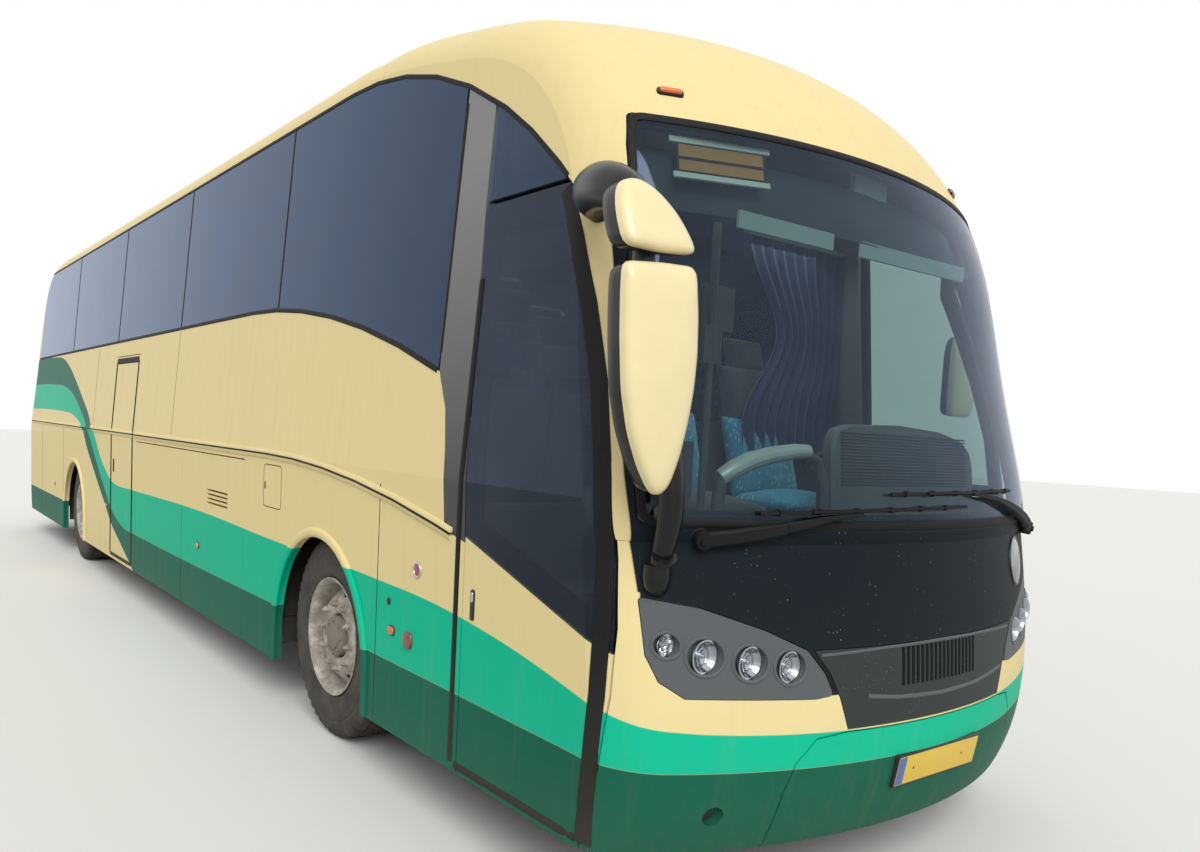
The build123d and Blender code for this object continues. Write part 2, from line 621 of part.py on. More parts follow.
# Low front crossmember with the two towing sockets, bored right through, with a wider mouth at both ends
SOCKET_BACK = 5870
SOCKET_FRONT = 6090
SOCKET_R = 20.0
MOUTH_R = 26.0
MOUTH_DEPTH = 10
BEAM_X = 5900
with BuildPart() as tow_beam:
    with Locations((BEAM_X, 0, 490)):
        Box(60, 2020, 160)
    with Locations((BEAM_X - 40, -RAIL_Y, 500), (BEAM_X - 40, RAIL_Y, 500)):
        Box(140, 60, 2 * (RAIL_Z - RAIL_H / 2 - 500))
    socket_x = (SOCKET_BACK + SOCKET_FRONT) / 2
    socket_length = SOCKET_FRONT - SOCKET_BACK
    with Locations((socket_x, -TOW_Y, TOW_Z), (socket_x, TOW_Y, TOW_Z)):
        Cylinder(radius=40, height=socket_length, rotation=(0, 90, 0))
    with Locations((socket_x, -TOW_Y, TOW_Z), (socket_x, TOW_Y, TOW_Z)):
        Cylinder(radius=SOCKET_R, height=socket_length, rotation=(0, 90, 0), mode=Mode.SUBTRACT)
    for mouth_x in (SOCKET_BACK + MOUTH_DEPTH / 2, SOCKET_FRONT - MOUTH_DEPTH / 2):
        with Locations((mouth_x, -TOW_Y, TOW_Z), (mouth_x, TOW_Y, TOW_Z)):
            Cylinder(radius=MOUTH_R, height=MOUTH_DEPTH, rotation=(0, 90, 0), mode=Mode.SUBTRACT)
tow_beam.part.label = "tow_beam"
export_step(tow_beam.part, "parts/tow_beam.step")

with BuildPart() as engine_block:
    with Locations((-5150, 0, 850)):
        Box(1400, 760, 620)
    with Locations((-4250, 0, 760)):
        Box(500, 480, 420)
    with Locations((-3680, 0, 575)):
        Cylinder(radius=45, height=840, rotation=(0, 90, 0))
engine_block.part.label = "engine_block"
export_step(engine_block.part, "parts/engine_block.step")

# Front axle: beam, eyes for the kingpins, air bellows under the rails
HUB_Z = TYRE_R
with BuildPart() as front_axle:
    with Locations((FRONT_AXLE_X, 0, HUB_Z)):
        Box(110, 2 * PIN_Y - 60, 90)
    with Locations((FRONT_AXLE_X, -PIN_Y, HUB_Z), (FRONT_AXLE_X, PIN_Y, HUB_Z)):
        Cylinder(radius=52, height=120)
    with Locations((FRONT_AXLE_X, -430, 570), (FRONT_AXLE_X, 430, 570)):
        Cylinder(radius=100, height=100)
    with Locations((FRONT_AXLE_X, -PIN_Y, HUB_Z), (FRONT_AXLE_X, PIN_Y, HUB_Z)):
        Cylinder(radius=PIN_R + RUNNING, height=200, mode=Mode.SUBTRACT)
front_axle.part.label = "front_axle"
export_step(front_axle.part, "parts/front_axle.step")

for name, side in (("left", 1), ("right", -1)):
    with BuildPart() as knuckle:
        with Locations((FRONT_AXLE_X, side * PIN_Y, HUB_Z)):
            Cylinder(radius=PIN_R, height=280)
        for lift in (-1, 1):
            with Locations((FRONT_AXLE_X, side * (PIN_Y + 20), HUB_Z + lift * 95)):
                Box(90, 150, 50)
        with Locations((FRONT_AXLE_X, side * (PIN_Y + 85), HUB_Z)):
            Box(120, 24, 240)
        with Locations((FRONT_AXLE_X, side * (PIN_Y + 175), HUB_Z)):
            Cylinder(radius=SPINDLE_R, height=170, rotation=(90, 0, 0))
    knuckle.part.label = "knuckle_" + name
    export_step(knuckle.part, "parts/knuckle_" + name + ".step")

with BuildPart() as rear_axle:
    with Locations((REAR_AXLE_X, 0, HUB_Z)):
        Cylinder(radius=75, height=1600, rotation=(90, 0, 0))
        Cylinder(radius=SPINDLE_R + 8, height=2080, rotation=(90, 0, 0))
        Sphere(radius=210)
    for side in (-1, 1):
        with Locations((REAR_AXLE_X, side * 430, 450)):
            Box(1300, 90, 80)
        with Locations((REAR_AXLE_X - 560, side * 430, 555), (REAR_AXLE_X + 560, side * 430, 555)):
            Cylinder(radius=100, height=130)
rear_axle.part.label = "rear_axle"
export_step(rear_axle.part, "parts/rear_axle.step")

# Wheels. Profiles turn about the hub line; distances are from the hub line and outwards
tyre_profile = [(RIM_R + 2, -118), (318, -140), (400, -145), (480, -140), (TYRE_R - 8, -122), (TYRE_R, -100)]


def turned(profile, centre_x, centre_y, outward):
    # Ring swept about the hub line, its second figure measured outwards
    with BuildPart() as ring:
        with BuildSketch(Plane(origin=(centre_x, centre_y, HUB_Z), x_dir=(0, 0, 1), z_dir=(-outward, 0, 0))):
            with BuildLine():
                Polyline(*profile, close=True)
            make_face()
        revolve(axis=Axis((centre_x, centre_y, HUB_Z), (0, 1, 0)))
    return ring.part


tyre_ring = tyre_profile + [(r, -w) for r, w in reversed(tyre_profile)]
barrel = [(RIM_R, 118), (RIM_R + 18, 134), (RIM_R + 18, 142), (RIM_R - 12, 130)]
barrel += [(r, -w) for r, w in reversed(barrel)]
BORE_R = SPINDLE_R + RUNNING
front_disc = [(RIM_R - 8, 20), (RIM_R - 8, 44), (235, 62), (165, 78), (104, 78), (104, 112), (84, 118)]
front_disc += [(84, 96), (BORE_R, 96), (BORE_R, -60), (104, -60), (104, 62), (160, 62), (228, 46)]
twin_disc_out = [(RIM_R - 8, -110), (RIM_R - 8, -92), (225, -112), (165, -141), (120, -141), (120, -20)]
twin_disc_out += [(104, -8), (BORE_R + 8, -8), (BORE_R + 8, -163), (165, -163), (232, -130)]
twin_disc_in = [(RIM_R - 8, 110), (RIM_R - 8, 92), (225, 112), (165, 145), (BORE_R + 25, 145)]
twin_disc_in += [(BORE_R + 25, 166), (165, 166), (232, 130)]
for name, side in (("left", 1), ("right", -1)):
    with BuildPart() as front_tyre:
        add(turned(tyre_ring, FRONT_AXLE_X, side * TYRE_Y, side))
    front_tyre.part.label = "front_tyre_" + name
    export_step(front_tyre.part, "parts/front_tyre_" + name + ".step")
    with BuildPart() as front_rim:
        add(turned(barrel, FRONT_AXLE_X, side * TYRE_Y, side))
        add(turned(front_disc, FRONT_AXLE_X, side * TYRE_Y, side))
    front_rim.part.label = "front_rim_" + name
    export_step(front_rim.part, "parts/front_rim_" + name + ".step")
    with BuildPart() as rear_tyres:
        add(turned(tyre_ring, REAR_AXLE_X, side * TYRE_Y, side))
        add(turned(tyre_ring, REAR_AXLE_X, side * TWIN_Y, side))
    rear_tyres.part.label = "rear_tyres_" + name
    export_step(rear_tyres.part, "parts/rear_tyres_" + name + ".step")
    with BuildPart() as rear_rims:
        add(turned(barrel, REAR_AXLE_X, side * TYRE_Y, side))
        add(turned(twin_disc_out, REAR_AXLE_X, side * TYRE_Y, side))
        add(turned(barrel, REAR_AXLE_X, side * TWIN_Y, side))
        add(turned(twin_disc_in, REAR_AXLE_X, side * TWIN_Y, side))
    rear_rims.part.label = "rear_rims_" + name
    export_step(rear_rims.part, "parts/rear_rims_" + name + ".step")


def rod(points, radius):
    # Round bar through a run of points, with ball corners
    with BuildPart() as bar:
        for start, end in zip(points, points[1:]):
            run = Vector(*end) - Vector(*start)
            with Locations(Plane(origin=(Vector(*start) + Vector(*end)) / 2, z_dir=run)):
                Cylinder(radius=radius, height=run.length)
        for point in points[1:-1]:
            with Locations(point):
                Sphere(radius=radius)
    return bar.part


# Cab: dashboard, column and hand wheel
DRIVER_Y = 620
dash_outline = [(5640, -350), (6225, -350), (6250, 0), (6228, 400), (6160, 700), (6030, 1000), (5640, 1000)]
with BuildPart() as dashboard:
    with BuildSketch(Plane.XY.offset(980)):
        with BuildLine():
            Polyline(*dash_outline, close=True)
        make_face()
    extrude(amount=345)
    with Locations((5700, DRIVER_Y, 1370)):
        Box(220, 620, 110)
    add(rod([(5640, DRIVER_Y, 1200), (5490, DRIVER_Y, 1600)], 32))
    with Locations(Plane(origin=(5490, DRIVER_Y, 1600), z_dir=(-0.4, 0, 0.92))):
        Torus(major_radius=225, minor_radius=15)
        Box(440, 50, 16)
    with Locations((5560, DRIVER_Y, CAB_Z + 90)):
        Box(160, 300, 180)
dashboard.part.label = "dashboard"
export_step(dashboard.part, "parts/dashboard.step")

# Seats, facing forward: one side profile swept over each pair
SEAT_PITCH = 800
seat_profile = [(230, 300), (230, 430), (-120, 420), (-300, 1110), (-400, 1090), (-250, 300)]
seat_profile += [(-190, 290), (-190, 0), (-60, 0), (-60, 300)]


def seat(width):
    with BuildPart() as bench:
        with BuildSketch(Plane.XZ.offset(-width / 2)):
            with BuildLine():
                Polyline(*seat_profile, close=True)
            make_face()
        extrude(amount=width)
    return bench.part


with BuildPart() as seat_pair:
    add(seat(920))
    with Locations((-180, 0, 800)):
        Box(500, 14, 900, mode=Mode.SUBTRACT)
pair_places = [(4300 - SEAT_PITCH * row, side * 660, FLOOR_Z) for row in range(13) for side in (-1, 1)]
# No pair stands over the middle stairwell
pair_places.remove((4300 - SEAT_PITCH * 6, -660, FLOOR_Z))
with BuildPart() as seats:
    with Locations(*pair_places):
        add(seat_pair.part)
    with Locations((5100, DRIVER_Y, CAB_Z)):
        add(seat(500))
    with Locations((5200, -150, CAB_Z)):
        add(seat(440))
seats.part.label = "seats"
export_step(seats.part, "parts/seats.step")

rack_half = [(1112, 2790), (760, 2700), (740, 2790), (720, 2790), (745, 2670), (1112, 2765)]
with BuildPart() as luggage_racks:
    for side in (-1, 1):
        with BuildSketch(Plane.YZ.offset(-5600)):
            with BuildLine():
                Polyline(*[(side * y, z) for y, z in rack_half], close=True)
            make_face()
        extrude(amount=10000)
luggage_racks.part.label = "luggage_racks"
export_step(luggage_racks.part, "parts/luggage_racks.step")


def mirror_shell(points, back_x, depth, corner, edge):
    # Shell with its glass side flat to the rear and its front edge rounded
    with BuildPart() as shell:
        with BuildSketch(Plane.YZ.offset(back_x)) as outline:
            with BuildLine():
                Polyline(*points, close=True)
            make_face()
            fillet(outline.vertices(), corner)
        extrude(amount=depth)
        fillet(shell.faces().sort_by(Axis.X)[-1].edges(), edge)
    return shell.part


# Mirrors on their arms
leaf_points = [(-1465, 2118), (-1172, 2134), (-1165, 1900), (-1196, 1660), (-1258, 1476)]
leaf_points += [(-1306, 1460), (-1390, 1610), (-1448, 1850)]
hood_points = [(-1462, 2150), (-1430, 2270), (-1370, 2350), (-1290, 2372), (-1215, 2340)]
hood_points += [(-1180, 2270), (-1172, 2168)]
right_arm = [(5690, -1120, 2540), (5900, -1215, 2600), (6100, -1290, 2560), (6180, -1318, 2440)]
right_arm += [(6190, -1318, 2330)]
right_stay = [(6190, -1282, 1500), (6180, -1250, 1330), (6110, -1190, 1200), (6040, -1130, 1180)]
side_leaf = [(1362, 1820), (1560, 1820), (1575, 2240), (1352, 2240)]
left_arm = [(5640, 1100, 2560), (5600, 1300, 2600), (5520, 1440, 2520), (5495, 1460, 2220)]
with BuildPart() as mirrors:
    add(mirror_shell(leaf_points, 6150, 95, 16, 14))
    add(mirror_shell(hood_points, 6150, 95, 16, 14))
    with Locations((6195, -1318, 2145)):
        Box(50, 180, 60)
    add(rod(right_arm, 24))
    add(rod(right_stay, 11))
    add(mirror_shell(side_leaf, 5450, 85, 40, 30))
    add(rod(left_arm, 20))
    add(skin, mode=Mode.SUBTRACT)
mirrors.part.label = "mirrors"
export_step(mirrors.part, "parts/mirrors.step")


def blade(points, base, slope, height):
    # Flat bar on edge: plan points along Y, its mid height at Y = 0 and its climb along Y
    strip = [(x - 9, y) for x, y in points] + [(x + 9, y) for x, y in reversed(points)]
    with BuildPart() as bar:
        with BuildSketch(Plane(origin=(0, 0, base), x_dir=(1, 0, 0), z_dir=(0, -slope, 1))):
            with BuildLine():
                Polyline(*strip, close=True)
            make_face()
        extrude(amount=height / 2, both=True)
    return bar.part


# Wiper arms and blades, parked low on the windscreen: plan points, mid height, climb, depth
wiper_rows = [
    ([(6160, -1020), (6214, -860), (6254, -740), (6294, -590), (6325, -440)], 1458, 0.139, 24),
    ([(6224, -830), (6304, -520), (6337, -340), (6356, -100), (6354, 146)], 1425.5, 0.031, 26),
    ([(6160, 1020), (6238, 800), (6284, 620), (6328, 330)], 1556, -0.237, 24),
    ([(6332, -300), (6350, 0), (6332, 300), (6278, 600)], 1478, 0.008, 26),
]
with BuildPart() as wipers:
    with Locations((6148, -1000, 1319), (6148, 1000, 1319)):
        Cylinder(radius=20, height=40, rotation=(0, 90, 0))
    for points, base, slope, height in wiper_rows:
        add(blade(points, base, slope, height))
    add(skin, mode=Mode.SUBTRACT)
wipers.part.label = "wipers"
export_step(wipers.part, "parts/wipers.step")
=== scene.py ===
import math

import bmesh
import bpy
from mathutils import Matrix, Vector, noise
from mathutils.bvhtree import BVHTree


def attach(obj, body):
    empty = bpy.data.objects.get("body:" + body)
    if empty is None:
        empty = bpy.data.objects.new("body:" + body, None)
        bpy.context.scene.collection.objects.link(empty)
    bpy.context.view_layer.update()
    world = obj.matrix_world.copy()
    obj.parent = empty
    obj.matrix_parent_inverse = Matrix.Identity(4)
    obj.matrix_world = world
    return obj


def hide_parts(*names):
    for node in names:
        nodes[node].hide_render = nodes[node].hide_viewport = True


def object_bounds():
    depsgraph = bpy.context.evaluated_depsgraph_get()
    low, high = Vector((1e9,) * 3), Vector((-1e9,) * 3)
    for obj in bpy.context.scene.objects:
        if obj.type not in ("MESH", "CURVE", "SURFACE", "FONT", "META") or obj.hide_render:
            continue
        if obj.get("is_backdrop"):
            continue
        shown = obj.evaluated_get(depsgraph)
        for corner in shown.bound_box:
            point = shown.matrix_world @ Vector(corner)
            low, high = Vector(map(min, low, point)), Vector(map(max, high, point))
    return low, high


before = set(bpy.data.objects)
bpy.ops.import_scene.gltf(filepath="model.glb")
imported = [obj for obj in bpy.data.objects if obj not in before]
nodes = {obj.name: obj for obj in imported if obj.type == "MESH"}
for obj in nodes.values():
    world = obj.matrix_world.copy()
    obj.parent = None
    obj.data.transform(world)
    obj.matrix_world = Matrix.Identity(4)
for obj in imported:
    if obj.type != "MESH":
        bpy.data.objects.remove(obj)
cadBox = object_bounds()
print("frame: loaded", len(nodes), "nodes")

# the coach's own lines, in metres: X forward, Y left, Z up from the road
coach = dict(frontAxle=3.69, rearAxle=-3.03, hubZ=0.522, frontTrack=1.062, twinInner=0.732,
             windowJoints=(-3.52, -1.29, 0.80, 2.83))


def bentLine(start, bend, radius, steps):
    # level from its start to the bend, then down along an arc
    x, z = bend
    return [start, bend] + [(x + r, z - radius + math.sqrt(radius**2 - r * r)) for r in steps]


beltLine = bentLine((-5.98, 1.42), (2.9, 1.42), 10.6, (0.4, 0.8, 1.2, 1.6, 1.98, 2.13))
sillLine = bentLine((-5.85, 2.217), (2.4, 2.25), 7.4, (0.4, 0.8, 1.2, 1.6, 2.0, 2.38))
topLine = bentLine((-5.7, 3.26), (3.6, 3.26), 2.927, (0.3, 0.6, 0.9, 1.2, 1.5, 1.7, 1.9, 1.98))


# a screen colour of 0 to 255 as the straight colour that a shader takes
def srgb(red, green, blue):
    def straight(v):
        v = v / 255
        return v / 12.92 if v <= 0.04045 else ((v + 0.055) / 1.055) ** 2.4
    return (straight(red), straight(green), straight(blue), 1.0)


# camera: the photograph's place and turn, found by fitting the coach's known width
camera = dict(place=(8.244655, -3.129323, 1.629072), yaw=141.7068, pitch=-4.5849, roll=3.0397,
              lens=28.2187, shiftX=0.00625, shiftY=0.0696)


def setCamera(c):
    yaw, pitch, roll = (math.radians(c[k]) for k in ("yaw", "pitch", "roll"))
    ahead = Vector((math.cos(pitch) * math.cos(yaw), math.cos(pitch) * math.sin(yaw), math.sin(pitch)))
    level = Vector((math.sin(yaw), -math.cos(yaw), 0))
    over = level.cross(ahead)
    across = math.cos(roll) * level + math.sin(roll) * over
    up = -math.sin(roll) * level + math.cos(roll) * over
    data = bpy.data.cameras.new("photoCamera")
    data.sensor_fit = "HORIZONTAL"
    data.sensor_width = 36
    data.lens = c["lens"]
    data.shift_x = c["shiftX"]
    data.shift_y = c["shiftY"]
    data.clip_end = 400
    holder = bpy.data.objects.new("photoCamera", data)
    bpy.context.collection.objects.link(holder)
    turn = Matrix((across, up, -ahead)).transposed().to_4x4()
    holder.matrix_world = Matrix.Translation(c["place"]) @ turn
    bpy.context.scene.camera = holder


setCamera(camera)


class Wire:
    # a socket that takes part in Python sums
    def __init__(self, tree, socket):
        self.tree = tree
        self.socket = socket

    def node(self, kind, settings, sockets, out=0):
        made = self.tree.nodes.new(kind)
        for key, value in settings.items():
            if key == "points":
                line = made.mapping.curves[0]
                line.points[0].location = value[0]
                line.points[-1].location = value[-1]
                for spot in value[1:-1]:
                    line.points.new(*spot)
                made.mapping.update()
            elif key == "stops":
                ramp = made.color_ramp
                while len(ramp.elements) < len(value):
                    ramp.elements.new(0.5)
                for stop, (place, tone) in zip(ramp.elements, value):
                    stop.position = place
                    stop.color = tone
            else:
                setattr(made, key, value)
        for key, value in sockets.items():
            if isinstance(value, Wire):
                self.tree.links.new(value.socket, made.inputs[key])
            else:
                made.inputs[key].default_value = value
        return Wire(self.tree, made.outputs[out])

    def calc(self, operation, first, second=0.0, hold=False):
        settings = {"operation": operation, "use_clamp": hold}
        return self.node("ShaderNodeMath", settings, {0: first, 1: second})

    def __add__(self, other):
        return self.calc("ADD", self, other)

    __radd__ = __add__

    def __sub__(self, other):
        return self.calc("SUBTRACT", self, other)

    def __rsub__(self, other):
        return self.calc("SUBTRACT", other, self)

    def __mul__(self, other):
        return self.calc("MULTIPLY", self, other)

    __rmul__ = __mul__

    def __truediv__(self, other):
        return self.calc("DIVIDE", self, other)

    def __pow__(self, other):
        return self.calc("POWER", self, other)

    def size(self):
        return self.calc("ABSOLUTE", self)

    def sign(self):
        return self.calc("SIGN", self)

    def hold(self):
        return self.calc("ADD", self, 0.0, hold=True)

    # 1 where this is above a level, with a soft edge of the given width
    def above(self, level, soft=0.004):
        return ((self - level) / soft + 0.5).hold()

    def below(self, level, soft=0.004):
        return ((level - self) / soft + 0.5).hold()

    def within(self, low, high, soft=0.004):
        return self.above(low, soft) * self.below(high, soft)

    # colours: this mask lays one over another
    def lay(self, over, under):
        return self.node("ShaderNodeMix", {"data_type": "RGBA"}, {0: self, 6: under, 7: over}, out=2)


class Finish:
    # one material, with the coach's own coordinates to hand
    def __init__(self, name, colour, roughness=0.5, metallic=0.0, **fixed):
        self.material = bpy.data.materials.new(name)
        self.material.use_nodes = True
        self.tree = self.material.node_tree
        self.shader = self.tree.nodes["Principled BSDF"]
        self.root = Wire(self.tree, None)
        self.place = self.root.node("ShaderNodeTexCoord", {}, {}, out=3)
        self.x, self.y, self.z = self.parts(self.place)
        self.set("Base Color", colour)
        self.set("Roughness", roughness)
        self.set("Metallic", metallic)
        for key, value in fixed.items():
            self.set(key.replace("_", " "), value)

    def set(self, key, value):
        if isinstance(value, Wire):
            self.tree.links.new(value.socket, self.shader.inputs[key])
        else:
            self.shader.inputs[key].default_value = value

    def parts(self, vector):
        split = self.root.node("ShaderNodeSeparateXYZ", {}, {0: vector})
        return [Wire(self.tree, split.socket.node.outputs[i]) for i in range(3)]

    # 1 on faces that look into the coach, through a wall of its sides or its ends
    def inner(self):
        nx, ny, nz = self.parts(self.root.node("ShaderNodeTexCoord", {}, {}, out=1))
        ends = (nx * self.x.sign()).below(-0.5, 0.1) * self.x.size().above(5.9)
        return ((ny * self.y.sign()).below(-0.5, 0.1) + ends).hold()

    def stretch(self, x, y, z):
        return self.root.node("ShaderNodeMapping", {}, {0: self.place, 3: (x, y, z)})

    def cloud(self, scale, detail=4.0, rough=0.55, at=None):
        return self.root.node("ShaderNodeTexNoise", {}, {0: at or self.place, 2: scale, 3: detail, 4: rough})

    def cells(self, scale, at=None):
        return self.root.node("ShaderNodeTexVoronoi", {}, {0: at or self.place, 2: scale})

    # fine even waves, for ribs and weaves
    def ribs(self, scale, way="Z"):
        return self.root.node("ShaderNodeTexWave", {"bands_direction": way}, {0: self.place, 1: scale})

    def bump(self, height, depth, strength):
        sockets = {"Height": height, "Distance": depth, "Strength": strength}
        self.set("Normal", self.root.node("ShaderNodeBump", {}, sockets))

    def done(self):
        return self.material


tones = dict(
    cream=srgb(232, 214, 158), creamFaded=srgb(222, 204, 140), lightGreen=srgb(2, 192, 150),
    lightFaded=srgb(20, 170, 136), darkGreen=srgb(0, 106, 83), darkFaded=srgb(10, 92, 76),
    darkNose=srgb(2, 96, 74), streak=srgb(150, 138, 108), returnBlack=srgb(30, 33, 34),
    frameBlack=srgb(22, 23, 24), liner=srgb(104, 106, 107), dust=srgb(150, 141, 124), ruby=srgb(160, 16, 12),
    podGrey=srgb(84, 89, 93),
)

# stripe edges along X, as heights: three below the belt, then three above it
stripes = dict(
    top=[
        (-6.6, 1.9), (-2.6, 1.76), (-2.1, 1.42), (-1.9, 1.294), (-1.71, 1.165), (-1.44, 1.045),
        (-1.27, 0.985), (-1.03, 0.95), (-0.5, 0.95), (1.6, 0.965), (3.1, 0.937), (4.3, 0.927), (5.06, 0.895),
        (5.94, 0.76), (6.1, 0.715), (6.25, 0.685), (6.6, 0.665)
    ],
    middle=[
        (-6.6, 1.9), (-2.9, 1.8), (-2.37, 1.42), (-2.13, 1.266), (-1.89, 1.109), (-1.61, 0.943),
        (-1.35, 0.79), (-1.22, 0.722), (-0.94, 0.635), (-0.67, 0.592), (-0.3, 0.585), (5.5, 0.58),
        (6.0, 0.574), (6.2, 0.562), (6.6, 0.548)
    ],
    foot=[
        (-6.6, 1.9), (-3.1, 1.8), (-2.62, 1.42), (-2.42, 1.254), (-2.12, 1.077), (-1.79, 0.894),
        (-1.47, 0.729), (-1.21, 0.585), (-0.77, 0.428), (-0.33, 0.27), (-0.1, 0.16), (6.6, 0.0)
    ],
    crest=[
        (-6.6, 2.19), (-4.5, 2.196), (-4.15, 2.175), (-3.74, 2.088), (-3.25, 1.921), (-2.79, 1.736),
        (-2.34, 1.545), (-2.17, 1.42), (-1.9, 1.2), (6.6, 1.0)
    ],
    inner=[
        (-6.6, 1.872), (-4.31, 1.87), (-3.79, 1.842), (-3.34, 1.767), (-2.89, 1.626), (-2.57, 1.502),
        (-2.4, 1.42), (-2.1, 1.2), (6.6, 1.0)
    ],
    hem=[
        (-6.6, 1.565), (-3.65, 1.565), (-3.29, 1.549), (-2.93, 1.494), (-2.64, 1.42), (-2.4, 1.3), (6.6, 1.0)
    ],
    rearTop=0.575, rearFrom=-3.3,
)


# the span of X and the height that the stripe curves are scaled to
curveSpan = dict(start=6.6, length=13.2, tall=3.5, wide=1.5)


def stripeEdge(f, points):
    start, length, tall = curveSpan["start"], curveSpan["length"], curveSpan["tall"]
    scaled = [((x + start) / length, z / tall) for x, z in points]
    return f.root.node("ShaderNodeFloatCurve", {"points": scaled}, {0: 1.0, 1: (f.x + start) / length}) * tall


def dusty(f, colour, roughness, low=0.95, amount=0.35):
    # road dust that thickens towards the ground, in soft patches
    patches = f.cloud(3.0, 6.0, 0.65)
    fine = f.cloud(60.0, 3.0, 0.6)
    near = ((low - f.z) / low).hold() ** 1.5
    film = (near * (0.35 + patches) * amount + fine.above(0.72, 0.12) * 0.05).hold()
    f.set("Base Color", film.lay(tones["dust"], colour))
    f.set("Roughness", roughness + film * 0.45)


# the body's paint: the belt's height, the nose's black returns as (from X, low, high, half width), and the
# slanting line that the door's frame is black above
paint = dict(belt=1.425, returns=((6.24, 0.80, 1.0, 0.72), (6.0, 1.085, 1.2, 1.185)), darkNoseFrom=4.8,
             frameSlope=0.309, frameLevel=2.79)


def makeLivery(name, framed=False):
    f = Finish(name, tones["cream"], 0.32, Coat_Weight=0.24, Coat_Roughness=0.06, Specular_IOR_Level=0.0)
    lower = f.z.below(paint["belt"], 0.002)
    edge = {key: stripeEdge(f, stripes[key]) for key in ("top", "middle", "foot", "crest", "inner", "hem")}
    lowLight = f.z.below(edge["top"]) * f.z.above(edge["middle"]) * lower
    lowDark = f.z.below(edge["middle"]) * f.z.above(edge["foot"]) * lower
    rearDark = f.z.below(stripes["rearTop"]) * f.x.below(stripes["rearFrom"])
    upDark = f.z.below(edge["crest"]) * f.z.above(edge["inner"]) * (1 - lower)
    upLight = f.z.below(edge["inner"]) * f.z.above(edge["hem"]) * (1 - lower)
    faded = f.cloud(0.8, 3.0, 0.5)
    cream = (faded * 0.35).lay(tones["creamFaded"], tones["cream"])
    light = (faded * 0.4).lay(tones["lightFaded"], tones["lightGreen"])
    dark = (faded * 0.4).lay(tones["darkFaded"], tones["darkGreen"])
    dark = ((f.x - paint["darkNoseFrom"]) * 0.8).hold().lay(tones["darkNose"], dark)
    colour = (lowLight + upLight).hold().lay(light, cream)
    colour = (lowDark + upDark + rearDark).hold().lay(dark, colour)
    streaks = f.cloud(5.0, 5.0, 0.6, at=f.stretch(3.0, 3.0, 0.18)).above(0.62, 0.2) * 0.07
    colour = streaks.lay(tones["streak"], colour)
    shut = []
    for x, low, high, half in paint["returns"]:
        shut.append(f.x.above(x) * f.z.within(low, high) * f.y.size().below(half))
    colour = (shut[0] + shut[1]).hold().lay(tones["returnBlack"], colour)
    if framed:
        # the front door is black above a slanting line
        level = f.z + f.x * paint["frameSlope"]
        colour = level.above(paint["frameLevel"], 0.005).lay(tones["frameBlack"], colour)
    colour = f.inner().lay(tones["liner"], colour)
    dusty(f, colour, 0.26, 0.9, 0.16)
    peel = f.cloud(90.0, 2.0, 0.5)
    f.bump(peel + f.cloud(1.3, 2.0, 0.5) * 18.0, 0.0006, 0.35)
    return f.done()


def darker(colour, share):
    return tuple(c * share for c in colour[:3]) + (1,)


# soft changes of tone, and a fine grain
def mottled(f, dark, pale):
    return (f.cloud(6.0, 5.0, 0.6).above(0.5, 0.5) * 0.3).lay(dark, pale)


def grained(f, depth, strength):
    f.bump(f.cloud(240.0, 2.0, 0.6), depth, strength)


def makePlain(
    name, colour, roughness=0.5, metallic=0.0, grain=0.0004, speck=None, dust=0.2, low=1.1, **fixed
):
    # plastic, rubber or painted metal: soft tone changes, dust low down, a fine grain
    f = Finish(name, colour, roughness, metallic, **fixed)
    worn = mottled(f, darker(colour, 0.72), colour)
    if speck:
        dots = f.cells(70.0).below(0.10, 0.05) * f.cloud(9.0, 3.0, 0.5).above(0.52, 0.1)
        worn = dots.lay(speck, worn)
    dusty(f, worn, roughness, low, dust)
    grained(f, grain, 0.5)
    return f.done()


# cream pillars at the sides of the black mask: from a height up, outside an edge of (height, half width)
pillars = dict(
    foot=1.06,
    edge=[
        (0.9, 1.185), (1.05, 1.185), (1.24, 1.198), (1.43, 1.211), (1.6, 1.206), (1.75, 1.19), (2.07, 1.173),
        (2.4, 1.156), (2.6, 1.14)
    ]
)


def makeMask():
    f = Finish(
        "maskBlack", srgb(33, 35, 36), 0.5, Coat_Weight=0.03, Coat_Roughness=0.3, Specular_IOR_Level=0.06
    )
    tall, wide = curveSpan["tall"], curveSpan["wide"]
    scaled = [(z / tall, y / wide) for z, y in pillars["edge"]]
    edge = f.root.node("ShaderNodeFloatCurve", {"points": scaled}, {0: 1.0, 1: f.z / tall}) * wide
    pillar = (f.y.size() - edge).above(0, 0.004) * f.z.above(pillars["foot"])
    black = mottled(f, srgb(16, 22, 27), srgb(22, 30, 36))
    dots = f.cells(48.0).below(0.09, 0.04) * f.cloud(7.0, 3.0, 0.5).above(0.55, 0.1)
    black = (dots * 0.8).lay(srgb(150, 150, 144), black)
    cream = (f.cloud(0.8, 3.0, 0.5) * 0.35).lay(srgb(224, 206, 152), tones["cream"])
    dusty(f, pillar.lay(cream, black), 0.5 - pillar * 0.22, 1.5, 0.07)
    grained(f, 0.0003, 0.4)
    return f.done()


def makePillarTrim():
    # silver pillar behind the door, with painted shade that makes it darker towards its foot and lighter
    # towards its head
    f = Finish("pillarSilver", srgb(112, 113, 113), 0.42, 0.25)
    tone = f.z.above(2.05, 1.3).lay(srgb(122, 123, 123), srgb(64, 64, 66))
    dusty(f, tone, 0.42, 1.1, 0.1)
    grained(f, 0.0003, 0.4)
    return f.done()


